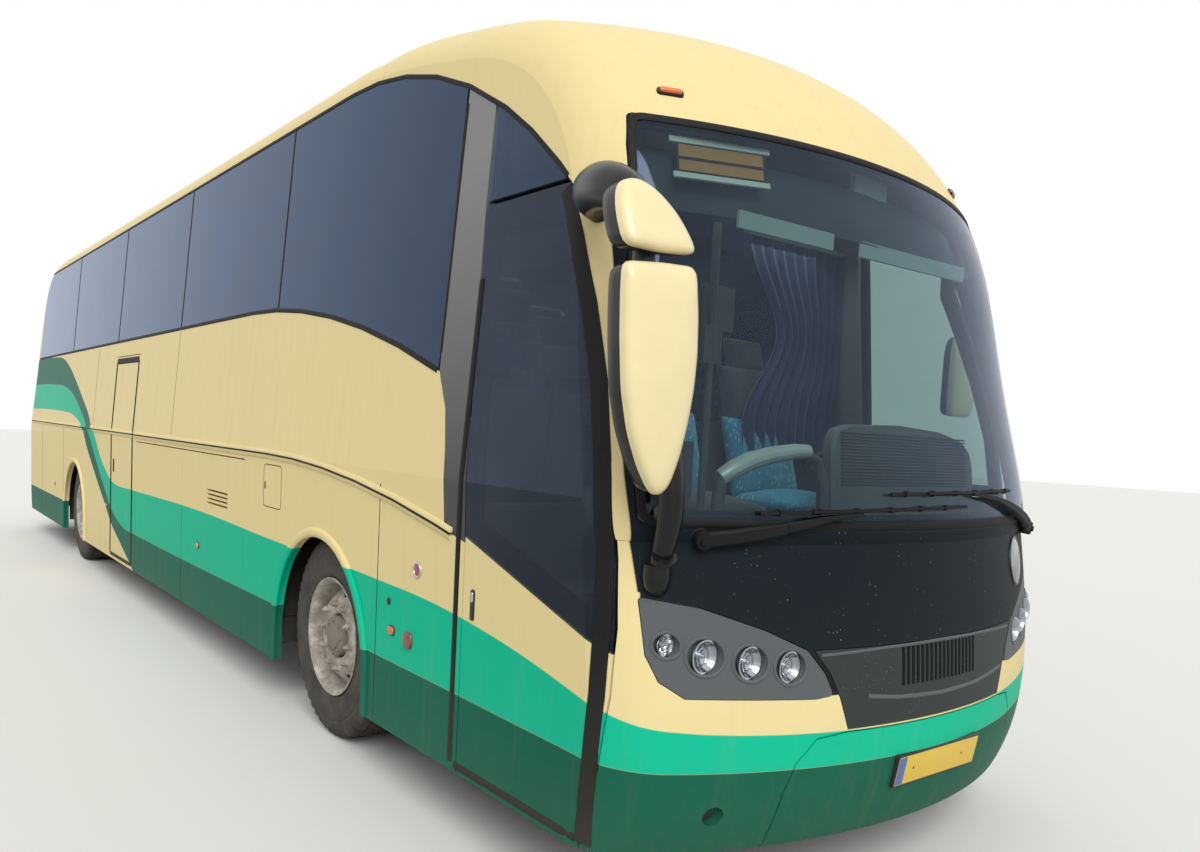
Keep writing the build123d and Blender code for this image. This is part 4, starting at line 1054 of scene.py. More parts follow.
def wheelNuts(shape, centre, axis, height):
    axis, first, second = crossWays(axis)
    for k in range(rim["holes"]):
        t = 2 * math.pi * (k + 0.5) / rim["holes"]
        foot = Vector(centre) + (first * math.cos(t) + second * math.sin(t)) * rim["boltAt"] + axis * height
        for part, count in (("washer", 16), ("nut", 6), ("stud", 10)):
            shape.lathe(rim[part], foot, axis, count)


for name, side in (("right", -1), ("left", 1)):
    for end, wheel in wheels.items():
        body, tyreNode, rimNode = (start + name for start in wheel["names"])
        rubber, steel = Shape(), Shape()
        axis = (0, side, 0)
        for y in wheel["across"]:
            hub = (wheel["axle"], side * y, coach["hubZ"])
            rubber.lathe(tread, hub, axis, tyre["pitches"] * 4, ring=True, wave=treadWave)
            steel.lathe(barrel, hub, axis, 72, ring=True)
        hub = (wheel["axle"], side * coach["frontTrack"], coach["hubZ"])
        steel.lathe(wheel["edge"], hub, axis, 72, ring=True)
        holedRing(steel, hub, axis, wheel["face"])
        steel.lathe(wheel["disc"], hub, axis, 72, ring=True)
        wheelNuts(steel, hub, axis, wheel["nutsAt"])
        steel.paint(1).lathe(wheel["hub"], hub, axis, 48)
        reach, height = wheel["boltAt"]
        for t in angles(wheel["bolts"]):
            bolt = Vector(hub) + Vector((math.cos(t) * reach, 0, math.sin(t) * reach))
            steel.lathe(wheel["bolt"], bolt + Vector(axis) * height, axis, 6)
        tyreName, rimName = end + "Tyre" + name.title(), end + "Rim" + name.title()
        build(tyreName, rubber, "tyre", body, smooth=30, replaces=[tyreNode])
        build(rimName, steel, "wheel hub", body, smooth=32, replaces=[rimNode])
print("wheels: built")

# round lamps as (across, height, radius, X): bowl, bulb, inner ring, domed lens and a ring round each
lamps = dict(
    rows=[
        (1.120, 0.978, 0.038, 6.112), (1.004, 0.942, 0.058, 6.174), (0.857, 0.920, 0.057, 6.234),
        (0.718, 0.902, 0.055, 6.283)
    ],
    play=0.002, ringOut=0.004, ring=(0.012, 0.004),
    bulb=[(0.0, -0.009), (0.006, -0.010), (0.009, -0.014), (0.009, -0.027)],
)
bowls, lenses, lampRings = Shape(), Shape(), Shape()
outward = (1, 0, 0)
for side in (-1, 1):
    for number, (y, height, radius, place) in enumerate(lamps["rows"]):
        centre = (place, side * y, height)
        r = radius - lamps["play"]
        bowl = [(r, -0.006), (r, -0.002), (r - 0.006, -0.003), (r - 0.010, -0.008),
                (r * 0.62, -0.019), (r * 0.32, -0.0255), (0.010, -0.0275), (0.0, -0.0275)]
        bowls.lathe(bowl, centre, outward, 40)
        bowls.lathe(lamps["bulb"], centre, outward, 16)
        if number:
            inner = [(r * 0.46, -0.012), (r * 0.5, -0.0105), (r * 0.54, -0.012), (r * 0.5, -0.016)]
            bowls.lathe(inner, centre, outward, 32, ring=True)
        dome = [(r - 0.005, -0.0055), (r - 0.006, -0.0035), (r * 0.8, 0.0), (r * 0.5, 0.0032),
                (r * 0.2, 0.0048), (0.0, 0.005)]
        lenses.lathe(dome, centre, outward, 40)
        reach = radius + lamps["ringOut"]
        edge = ellipse((side * y, height), reach, reach, 36)
        strip(lampRings, "front", edge, *lamps["ring"], closed=True, step=0.02)
build("lampBowls", bowls, "chrome", replaces=["headlamps"])
build("lampLenses", lenses, "lens")
build("lampRings", lampRings, "pod")

# near mirror: two domed covers on black housings, with the arm above and the stay to its foot below
mirror = dict(
    leaf=[
        (-1.455, 2.112), (-1.32, 2.126), (-1.19, 2.132), (-1.172, 2.0), (-1.166, 1.88), (-1.172, 1.775),
        (-1.189, 1.668), (-1.216, 1.561), (-1.25, 1.48), (-1.28, 1.458), (-1.31, 1.468), (-1.36, 1.54),
        (-1.405, 1.64), (-1.435, 1.76), (-1.449, 1.9), (-1.456, 2.03)
    ],
    hood=[
        (-1.452, 2.155), (-1.457, 2.22), (-1.45, 2.285), (-1.43, 2.335), (-1.39, 2.362), (-1.345, 2.364),
        (-1.29, 2.338), (-1.235, 2.285), (-1.2, 2.22), (-1.186, 2.165), (-1.32, 2.153)
    ],
    arm=[
        (5.74, -1.12, 2.34), (5.722, -1.165, 2.358), (5.74, -1.222, 2.385), (5.80, -1.268, 2.398),
        (5.89, -1.302, 2.394), (5.98, -1.326, 2.374), (6.06, -1.336, 2.34), (6.11, -1.334, 2.295),
        (6.13, -1.325, 2.24)
    ],
    armSize=[0.028, 0.036, 0.052, 0.066, 0.072, 0.07, 0.06, 0.05, 0.04],
    stay=[
        (6.15, -1.245, 1.86), (6.165, -1.215, 1.66), (6.165, -1.185, 1.44), (6.13, -1.17, 1.30),
        (6.085, -1.155, 1.215)
    ],
    staySize=[0.03, 0.036, 0.04, 0.036, 0.028],
    foot=[
        (6.085, -1.155, 1.235), (6.083, -1.153, 1.20), (6.08, -1.15, 1.165), (6.078, -1.148, 1.145),
        (6.077, -1.147, 1.136)
    ],
    footSize=[0.043, 0.046, 0.042, 0.03, 0.014], socket=[(6.06, -1.128, 1.225), (6.06, -1.128, 1.15)],
    socketSize=[0.04, 0.036], link=[(6.13, -1.32, 2.26), (6.13, -1.32, 2.13), (6.15, -1.29, 1.86)],
    linkSize=[0.03, 0.034, 0.03], collars=(1.262, 1.392), collar=(6.13, -1.17), collarSize=0.042, back=6.132,
    front=6.196, rise=0.05, lean=0.4, leanFoot=2.15, corner=0.03,
)
near = Shape()
back, front = mirror["back"], mirror["front"]
for outline, lean, foot in ((mirror["leaf"], 0.0, 0.0), (mirror["hood"], mirror["lean"], mirror["leanFoot"])):
    drawn = spaced(rounded(outline, mirror["corner"], True, 3), 0.02, True)
    swell(near.paint(0), drawn, front, mirror["rise"], lean, foot)
    housing = [
        (front + 0.004, 0.985), (front - 0.03, 0.985), (back + 0.006, 0.965), (back, 0.94),
        (back + 0.008, 0.91)
    ]
    near.paint(1).loft(rings(drawn, housing, lean, foot))
    near.paint(2).loft(rings(drawn, [(back + 0.003, 0.905), (back + 0.007, 0.905)], lean, foot))
near.paint(1).tube(*flowing(mirror["arm"], mirror["armSize"]), 24)
near.tube(*flowing(mirror["stay"], mirror["staySize"]), 16)
for part, count in (("foot", 14), ("socket", 12), ("link", 10)):
    near.tube(mirror[part], mirror[part + "Size"], count)
x, y = mirror["collar"]
for z in mirror["collars"]:
    near.tube([(x, y, z), (x + 0.004, y - 0.002, z + 0.006)], mirror["collarSize"], 12)
build("nearMirror", near, "shell gloss mirrorGlass", replaces=["mirrors"])

# far mirror: one upright shell on a bent arm
farMirror = dict(
    outline=[
        (1.36, 1.82), (1.555, 1.82), (1.572, 1.9), (1.572, 2.16), (1.55, 2.24), (1.38, 2.24), (1.354, 2.16),
        (1.354, 1.9)
    ],
    arm=[(5.66, 1.13, 2.53), (5.62, 1.26, 2.56), (5.54, 1.40, 2.52), (5.50, 1.46, 2.38), (5.49, 1.46, 2.18)],
    armSize=[0.03, 0.032, 0.034, 0.032, 0.028], place=5.49, rise=0.045, corner=0.03,
)
far = Shape()
drawn = spaced(rounded(farMirror["outline"], farMirror["corner"], True, 3), 0.025, True)
place = farMirror["place"]
swell(far, drawn, place, farMirror["rise"])
far.paint(1).loft(
    rings(drawn, [(place + 0.004, 0.985), (place - 0.03, 0.97), (place - 0.04, 0.93), (place - 0.034, 0.9)])
)
far.paint(2).loft(rings(drawn, [(place - 0.04, 0.89), (place - 0.035, 0.89)]))
far.paint(1).tube(farMirror["arm"], farMirror["armSize"], 12)
build("farMirror", far, "shell gloss mirrorGlass")

# number plate, left blank, with its holder, side band and two screws
plate = dict(
    at=(0.03, 0.492), holder=(0.534, 0.124), face=(0.52, 0.11), band=(0.045, 0.106), bandAt=-0.236,
    screw=0.009, screwsAt=0.16
)
plateParts = Shape()
pad(plateParts, "front", plate["at"], plate["holder"], 0.0025, radius=0.008, sink=0.02)
pad(plateParts.paint(1), "front", plate["at"], plate["face"], 0.0008, radius=0.006, sink=0.0, lift=0.0022)
pad(
    plateParts.paint(2), "front", plate["at"], plate["band"], 0.0006, radius=0.003, sink=-0.002, lift=0.0028,
    shift=(plate["bandAt"], 0)
)
for y in (-plate["screwsAt"], plate["screwsAt"]):
    pad(
        plateParts.paint(0), "front", plate["at"], (plate["screw"], plate["screw"]), 0.0008, radius=0.0044,
        sink=-0.002, lift=0.003, shift=(y, 0)
    )
build("blankPlate", plateParts, "gloss plate plateBlue")

# oval lamp high on the mask, on the far side: a shallow dome as (share of its size, height) and its ring
oval = dict(at=(0.79, 1.185), size=(0.10, 0.098), ring=(0.014, 0.006),
            dome=((0.98, -0.004), (0.96, 0.004), (0.85, 0.008), (0.6, 0.012), (0.3, 0.014), (0.08, 0.0145)))
ovalLamp, ovalRing = Shape(), Shape()
path, normals = skin.lay("front", ellipse(oval["at"], *oval["size"], 40), True, 0.03)
heart = sum(path, Vector()) / len(path)
out = sum(normals, Vector()).normalized()
ovalLamp.loft([[heart + (p - heart) * share + out * lift for p in path] for share, lift in oval["dome"]])
ovalRing.ribbon(path, normals, domed(*oval["ring"]), closed=True)
build("ovalLamp", ovalLamp, "ovalGlass")
build("ovalLampRing", ovalRing, "gloss")

# grille: lamps and a bright plate behind its slots, whose white specks are painted glints, the lip under them
# in a pale grey that is a painted highlight, and the panel's raised edge
grille = dict(
    lamps=(-0.165, 0.0, 0.165), lampAt=(6.338, 0.875), lampSize=0.054,
    plate=((6.288, -0.26, 0.806), (6.294, 0.26, 0.944)),
    lip=[(-0.40, 0.785), (-0.25, 0.768), (0.0, 0.757), (0.25, 0.762), (0.5, 0.787)], lipSize=(0.014, 0.0014),
    edge=[(-0.60, 0.935), (-0.3, 0.946), (0, 0.95), (0.3, 0.946), (0.60, 0.935)], edgeSize=(0.010, 0.002)
)
grilleEdges, glow = Shape(), Shape()
glow.block(*grille["plate"])
x, z = grille["lampAt"]
r = grille["lampSize"]
bowl = [(r, 0.012), (r, 0.006), (r * 0.9, 0.0), (r * 0.7, -0.018), (r * 0.4, -0.032), (0.0, -0.036),
        (0.0, -0.042), (r * 0.5, -0.04), (r * 0.95, -0.012)]
for y in grille["lamps"]:
    glow.paint(1).lathe(bowl, (x, y, z), outward, 32)
# the lip's pale grey is a painted highlight along the edge of the recess
strip(grilleEdges.paint(1), "front", grille["lip"], *grille["lipSize"])
strip(grilleEdges, "front", grille["edge"], *grille["edgeSize"])
build("grilleLamps", glow, "slotShine chrome")
build("grilleEdges", grilleEdges, "gloss pod")

# thin dark seams: across the mask, upright on the sides as (x, foot, head), and across the rear
seam = dict(
    mask=[(-1.10, 1.35), (-0.8, 1.349), (-0.4, 1.346), (0, 1.342), (0.4, 1.346), (0.8, 1.349), (1.10, 1.35)],
    maskSize=(0.007, 0.0015),
    upright=((4.36, 0.30, 1.36), (0.80, 1.46, 2.22), (-3.72, 0.34, 1.38), (-5.2, 0.34, 1.38)),
    uprightSize=(0.006, 0.001), right=(-2.1, 1.46, 2.2), left=(-1.29, 1.46, 2.2),
    rear=((0.745, 1.05), (1.86, 1.0)), rearSize=(0.006, 0.0012),
)
seams = Shape()
strip(seams, "front", seam["mask"], *seam["maskSize"], step=0.06)
for view in sides:
    for x, foot, head in seam["upright"] + (seam[view],):
        strip(seams, view, [(x, foot), (x, head)], *seam["uprightSize"], step=0.1)
for z, half in seam["rear"]:
    strip(seams, "rear", [(-half, z), (half, z)], *seam["rearSize"], step=0.06)
build("panelSeams", seams, "seal")

# lower panel under the driver's window, where the other side has its door: rows of (height, back X, front X)
sidePanel = dict(
    wall=0.032, columns=18, levelAt=0.8, castTo=5.94,
    rows=[
        (0.27, 5.164, 5.888), (0.42, 5.164, 5.934), (0.56, 5.164, 5.970), (0.68, 5.164, 5.986),
        (0.80, 5.164, 5.999), (0.91, 5.164, 6.0), (1.02, 5.164, 5.999), (1.172, 5.164, 5.982),
        (1.182, 5.114, 5.981), (1.24, 5.114, 5.975), (1.33, 5.114, 5.958), (1.418, 5.114, 5.94)
    ],
)
driverPanel = Shape()
skins = [[], []]
for z, back, ahead in sidePanel["rows"]:
    for depth, rows in zip((0, sidePanel["wall"]), skins):
        row = []
        for k in range(sidePanel["columns"]):
            x = back + (ahead - back) * k / (sidePanel["columns"] - 1)
            place, normal = skin.cast("right", min(x, sidePanel["castTo"]), sidePanel["levelAt"])
            row.append(Vector((x, -place.y - depth, z)))
        rows.append(row)
driverPanel.loft([outer + inner[::-1] for outer, inner in zip(*skins)])
build("driverPanel", driverPanel, "livery", smooth=30)

# doors: rubbers as (line, size, step), and a grip each
doorEdge = [
    (5.95, 0.29), (5.972, 0.5), (5.992, 0.8), (5.992, 1.05), (5.974, 1.3), (5.93, 1.55), (5.868, 1.8),
    (5.785, 2.05), (5.69, 2.28), (5.63, 2.405), (5.6, 2.462)
]
doors = dict(
    front=[
        ([(x - 0.037, z) for x, z in doorEdge], (0.064, 0.005), 0.06),
        ([(5.064, 0.31), (5.064, 2.2)], (0.034, 0.005), 0.08),
        ([(5.10, 0.302), (5.88, 0.302)], (0.03, 0.004), 0.08)
    ],
    mid=[
        ([(-1.232, 0.32), (-1.232, 2.05)], (0.03, 0.005), 0.1),
        ([(-0.412, 0.32), (-0.412, 2.05)], (0.03, 0.005), 0.1),
        ([(-1.22, 2.055), (-0.42, 2.055)], (0.05, 0.006), 0.1),
        ([(-1.22, 0.31), (-0.42, 0.31)], (0.03, 0.004), 0.1)
    ],
    gripAt=(5.19, 0.955), grip=(0.03, 0.12), lockAt=(5.19, 0.985), lock=(0.016, 0.04),
    midGripAt=(-1.12, 1.12), midGrip=(0.035, 0.12),
)
doorRubber, doorGrip, midTrim = Shape(), Shape(), Shape()
for shape, key in ((doorRubber, "front"), (midTrim, "mid")):
    for line, size, step in doors[key]:
        strip(shape, "right", line, *size, step=step)
pad(doorGrip, "right", doors["gripAt"], doors["grip"], 0.004, sink=0.01)
pad(doorGrip.paint(1), "right", doors["lockAt"], doors["lock"], 0.003, radius=0.007, sink=0.0, lift=0.004)
pad(midTrim, "right", doors["midGripAt"], doors["midGrip"], 0.005, sink=0.01)
build("frontDoorRubber", doorRubber, "seal", "front_door")
build("frontDoorGrip", doorGrip, "gloss chrome", "front_door")
build("midDoorTrim", midTrim, "seal", "mid_door")

# small lamps and covers along the sides; the red lamp, the brown one, the cap and a cover are on the right
sideParts = dict(
    amber=[(4.52, 0.724), (-1.407, 0.727), (-4.25, 0.724)], flapAmber=(1.558, 0.726), base=(0.062, 0.046),
    lens=(0.052, 0.036), red=(4.74, 1.024), redRing=0.030, redRingSize=(0.012, 0.007), redLens=(0.050, 0.050),
    brown=(4.678, 0.712), brownSize=(0.075, 0.072), cap=(4.484, 0.848), capSize=(0.032, 0.032),
    fuel=(2.98, 1.24), fuelSize=(0.28, 0.24), fuelSeam=(0.005, 0.001), fuelCatch=(2.865, 1.24),
    catchSize=(0.012, 0.04),
)
markers, covers = Shape(), Shape()


def sideLamp(shape, view, at):
    pad(shape.paint(0), view, at, sideParts["base"], 0.004, radius=0.022)
    pad(shape.paint(1), view, at, sideParts["lens"], 0.007, radius=0.018, sink=0.0, lift=0.003)


for view in sides:
    for at in sideParts["amber"]:
        sideLamp(markers, view, at)
    flapLamp = Shape()
    sideLamp(flapLamp, view, sideParts["flapAmber"])
    build("flapLamp" + view.title(), flapLamp, "gloss amber", "flap_%s_front" % view)
reach = sideParts["redRing"]
path, normals = skin.lay("right", ellipse(sideParts["red"], reach, reach, 28), True, 0.02)
markers.paint(3).ribbon(path, normals, domed(*sideParts["redRingSize"]), closed=True)
pad(markers.paint(2), "right", sideParts["red"], sideParts["redLens"], 0.006, radius=0.025, sink=0.004)
pad(markers.paint(4), "right", sideParts["brown"], sideParts["brownSize"], 0.012, radius=0.026)
pad(markers.paint(0), "right", sideParts["cap"], sideParts["capSize"], 0.005, radius=0.014)
fuelEdge = corners(*(size / 2 for size in sideParts["fuelSize"]), sideParts["fuel"])
strip(covers, "right", fuelEdge, *sideParts["fuelSeam"], closed=True, radius=0.03, step=0.03)
pad(covers, "right", sideParts["fuelCatch"], sideParts["catchSize"], 0.003, radius=0.005)
build("sideMarkers", markers, "gloss amber red chrome brown")
build("sideCovers", covers, "seal")

# roof: marker lamps at the brow, a short aerial and two hatches as rows of (rise, half width)
roof = dict(
    lampAt=(0.885, 2.824), base=(0.10, 0.034), lens=(0.082, 0.022), aerialAt=5.06, hatches=(3.0, -3.4),
    stretch=1.15, highest=3.487,
    aerial=[(0.0, 0.03), (0.014, 0.028), (0.02, 0.018), (0.032, 0.008), (0.036, -0.006)],
    hatch=((-0.05, 0.36), (0.010, 0.36), (0.018, 0.352), (0.021, 0.33)), hatchCorner=0.06
)
roofParts = Shape()
for side in (-1, 1):
    at = (side * roof["lampAt"][0], roof["lampAt"][1])
    pad(roofParts.paint(0), "front", at, roof["base"], 0.010, radius=0.014)
    pad(roofParts.paint(1), "front", at, roof["lens"], 0.009, radius=0.010, sink=0.0, lift=0.008)
place, normal = skin.cast("top", roof["aerialAt"], 0.0)
roofParts.paint(0).lathe(roof["aerial"], place, (0, 0, 1), 20)
for x in roof["hatches"]:
    place, normal = skin.cast("top", x, 0.0)
    rows = []
    for rise, half in roof["hatch"]:
        z = place.z + min(rise, roof["highest"] - place.z)
        edge = rounded(corners(half, half), roof["hatchCorner"], True)
        rows.append([Vector((x + a * roof["stretch"], b, z)) for a, b in edge])
    roofParts.paint(2).loft(rows)
build("roofFittings", roofParts, "gloss amber livery")

# tail: blank plate between its lamps, and reflectors; on the lid, a handle and rows of louvres as (height, X)
tail = dict(
    plateAt=(0.0, 0.60), holder=(0.54, 0.13), plate=(0.52, 0.11), reflectorAt=(0.86, 0.50),
    reflector=(0.12, 0.04), lampAt=(0.33, 0.60), lamp=(0.03, 0.06), handleAt=(0.0, 0.86),
    handle=(0.16, 0.045),
    slots=((0.9, -6.4345), (1.0, -6.4375), (1.1, -6.4405), (1.2, -6.442), (1.3, -6.439)),
    slotEnds=(-0.61, -0.305, 0.0, 0.305, 0.61), bow=0.0836, sink=0.004,
    section=((0, 0.0085), (0, 0.0055), (0.032, -0.009), (0.032, -0.006)),
)
tailParts, lid = Shape(), Shape()
pad(tailParts.paint(0), "rear", tail["plateAt"], tail["holder"], 0.008, radius=0.01, sink=0.02)
pad(tailParts.paint(1), "rear", tail["plateAt"], tail["plate"], 0.003, radius=0.006, sink=0.0, lift=0.007)
for side in (-1, 1):
    (y, z), (lampY, lampZ) = tail["reflectorAt"], tail["lampAt"]
    pad(tailParts.paint(2), "rear", (side * y, z), tail["reflector"], 0.006, radius=0.008)
    pad(tailParts.paint(0), "rear", (side * lampY, lampZ), tail["lamp"], 0.014, radius=0.01)
build("tailFittings", tailParts, "gloss plate red")
pad(lid, "rear", tail["handleAt"], tail["handle"], 0.008, radius=0.015)
for z, place in tail["slots"]:
    for y0, y1 in zip(tail["slotEnds"], tail["slotEnds"][1:]):
        rows = []
        for k in range(7):
            y = y0 + (y1 - y0) * k / 6
            x = place + tail["bow"] * y * y + tail["sink"]
            rows.append([Vector((x + a, y, z + b)) for a, b in tail["section"]])
        lid.loft(rows)
build("lidLouvres", lid, "seal", "engine_lid")

# wipers: pivot, tapering arm, and a blade of rubber, spine, claws and ridge; sections are (across, outward)
wiper = dict(
    near=dict(
        arm=[(-1.012, 1.317), (-0.86, 1.337), (-0.74, 1.356), (-0.60, 1.386), (-0.44, 1.404)],
        blade=[(-0.83, 1.402), (-0.5, 1.414), (-0.15, 1.424), (0.146, 1.430)]
    ),
    far=dict(
        arm=[(1.012, 1.317), (0.80, 1.368), (0.62, 1.412), (0.42, 1.452), (0.20, 1.476)],
        blade=[(-0.30, 1.472), (0.0, 1.478), (0.3, 1.482), (0.60, 1.484)]
    ),
    rubber=[(-0.003, 0.003), (-0.002, 0.014), (0.002, 0.014), (0.003, 0.003)],
    spine=[(-0.007, 0.013), (-0.006, 0.021), (0.006, 0.021), (0.007, 0.013)],
    claw=[(-0.010, 0.008), (-0.010, 0.025), (0.010, 0.025), (0.010, 0.008)],
    ridge=[(-0.004, 0.021), (-0.004, 0.029), (0.004, 0.029), (0.004, 0.021)],
    lift=(0.030, 0.030, 0.029, 0.028, 0.025), width=(0.052, 0.048, 0.036, 0.022, 0.013),
    depth=(0.022, 0.020, 0.016, 0.010, 0.007),
    arm=((-1, -1), (-1, 0.3), (-0.7, 1), (0.7, 1), (1, 0.3), (1, -1)), pivotLift=0.036,
    pivot=[
        (0.0, 0.018), (0.011, 0.017), (0.013, 0.010), (0.026, 0.009), (0.029, 0.002), (0.029, -0.034),
        (0.034, -0.036), (0.035, -0.045)
    ],
)


def level(values, share):
    place = share * (len(values) - 1)
    low = min(int(place), len(values) - 2)
    return values[low] + (values[low + 1] - values[low]) * (place - low)


blades = Shape()
for which in ("near", "far"):
    path, normals = skin.lay("front", wiper[which]["blade"], step=0.04)
    blades.ribbon(path, normals, wiper["rubber"])
    blades.ribbon(path, normals, wiper["spine"])
    for k in range(2, len(path) - 1, 4):
        half = (path[k] - path[k - 1]) * 0.2
        blades.ribbon([path[k] - half, path[k] + half], [normals[k]] * 2, wiper["claw"])
    end = len(path) // 5
    blades.ribbon(path[end:-end], normals[end:-end], wiper["ridge"])
    path, normals = skin.lay("front", wiper[which]["arm"], step=0.03, radius=0.05)
    rows = []
    for i, place in enumerate(path):
        share = i / (len(path) - 1)
        along = (path[min(i + 1, len(path) - 1)] - path[max(i - 1, 0)]).normalized()
        over = normals[i].cross(along).normalized()
        w, d, lift = (level(wiper[key], share) for key in ("width", "depth", "lift"))
        heart = place + normals[i] * lift
        rows.append([heart + over * (w / 2 * a) + normals[i] * (d / 2 * b) for a, b in wiper["arm"]])
    blades.loft(rows)
    blades.lathe(wiper["pivot"], path[0] + normals[0] * wiper["pivotLift"], normals[0], 24)
build("wiperBlades", blades, "seal", replaces=["wipers"])
print("outside: mirrors, seals, lamps and wipers")

# seats in rows of pairs, with one pair left out for the mid door; heights are above the floor
seat = dict(
    pitch=0.8, first=4.3, rows=13, across=0.66, floor=1.30, gone=(6, -1), wide=0.440, pair=0.227,
    lean=math.atan2(0.19, 0.69), cushion=(0.45, 0.125), cushionAt=(0.015, 0, 0.375), back=(0.52, 0.10),
    head=(0.18, 0.09), headFoot=(-0.29, 0.90),
    shell=((-0.34, -0.21, 0.0), (-0.34, 0.21, 0.0), (0.32, 0.17, 0.0), (0.32, -0.17, 0.0)),
    shellFoot=(-0.185, 0.40), shellLength=0.68, backLess=0.01, headLess=0.07, shellDepth=(-0.018, 0, -0.004),
    grab=((-0.345, -0.13, 1.09), (-0.37, -0.12, 1.125), (-0.37, 0.12, 1.125), (-0.345, 0.13, 1.09)),
    grabSize=0.011, base=((-0.21, -0.44, 0.285), (0.20, 0.44, 0.312)),
    leg=((-0.18, -0.03, 0.001), (-0.08, 0.03, 0.29)), arms=(-0.455, 0.0, 0.455),
    arm=((-0.19, 0.56), (0.13, 0.58), (0.13, 0.615), (-0.2, 0.605)), armHalf=0.012,
)


# a crowned cushion with sewn channels, pulled in between its corners; a channel is (place, whether turned)
def cushion(shape, size, matrix, channels, count=(8, 8), crown=0.35, pull=0.045, power=3.2):
    wide, deep, tall = size
    across, along = count
    rows = []
    for j in range(along + 1):
        v = math.sin(math.pi / 2 * (-1 + 2 * j / along))
        ring = []
        for half, steps in ((1, range(across + 1)), (-1, range(1, across))):
            for i in steps:
                u = math.sin(math.pi / 2 * (-1 + 2 * i / across)) * half
                rim = 0
                if abs(u) < 1 and abs(v) < 1:
                    rim = (1 - abs(u) ** power) ** (1 / power) * (1 - abs(v) ** power) ** (1 / power)
                z = tall / 2 * rim * (0.78 + crown * (1 - u * u) * (1 - v * v) if half == 1 else 0.9)
                if half == 1:
                    sewn = (math.exp(-(((v if turned else u) - at) / 0.055) ** 2) for at, turned in channels)
                    z -= sum(0.12 * tall * dent for dent in sewn) * rim
                x = deep / 2 * v * (1 - pull * (1 - u * u))
                y = wide / 2 * u * (1 - pull * (1 - v * v))
                ring.append(matrix @ Vector((x, y, z * half)))
        rows.append(ring)
    return shape.loft(rows, caps=False)


def seatBack(height, foot=(-0.15, 0.40)):
    # matrix of a back cushion: its length runs up the lean
    up = Vector((-math.sin(seat["lean"]), 0, math.cos(seat["lean"])))
    out = Vector((math.cos(seat["lean"]), 0, math.sin(seat["lean"])))
    heart = Vector((foot[0], 0, foot[1])) + up * (height / 2)
    return Matrix.Translation(heart) @ Matrix((up, Vector((0, 1, 0)), out)).transposed().to_4x4()


def moved(points, place):
    return [tuple(a + b for a, b in zip(place, point)) for point in points]


quilt = [(0.55, False), (-0.55, False)]
cushions, backs, frames = Shape(), Shape(), Shape()
for row in range(seat["rows"]):
    for side in (-1, 1):
        if (row, side) == seat["gone"]:
            continue
        place = (seat["first"] - seat["pitch"] * row, side * seat["across"], seat["floor"])
        for half in (-1, 1):
            at = Matrix.Translation(place) @ Matrix.Translation((0, half * seat["pair"], 0))
            wide = seat["wide"]
            seatAt = at @ Matrix.Translation(seat["cushionAt"])
            cushion(cushions, (wide, *seat["cushion"]), seatAt, quilt + [(0.2, True)])
            length, depth = seat["back"]
            size = (wide - seat["backLess"], length, depth)
            cushion(backs.paint(0), size, at @ seatBack(length), quilt + [(0.0, True)])
            length, depth = seat["head"]
            size = (wide - seat["headLess"], length, depth)
            cushion(backs.paint(1), size, at @ seatBack(length, seat["headFoot"]), [], (8, 6))
            shellAt = at @ seatBack(seat["shellLength"], seat["shellFoot"])
            shell = [shellAt @ Vector(p) for p in seat["shell"]]
            frames.paint(0).slab(shell, at.to_3x3() @ Vector(seat["shellDepth"]))
            frames.paint(1).tube([at @ Vector(p) for p in seat["grab"]], seat["grabSize"], 6)
        frames.paint(0).block(*moved(seat["base"], place))
        frames.block(*moved(seat["leg"], place))
        x, y, z = place
        for a in seat["arms"]:
            low = y + a - seat["armHalf"]
            frames.slab([(x + px, low, z + pz) for px, pz in seat["arm"]], (0, 2 * seat["armHalf"], 0))
build("seatCushions", cushions, "cloth", replaces=["seats"], smooth=60)
build("seatBacks", backs, "cloth clothDark", smooth=60)
build("seatFrames", frames, "dash rail")

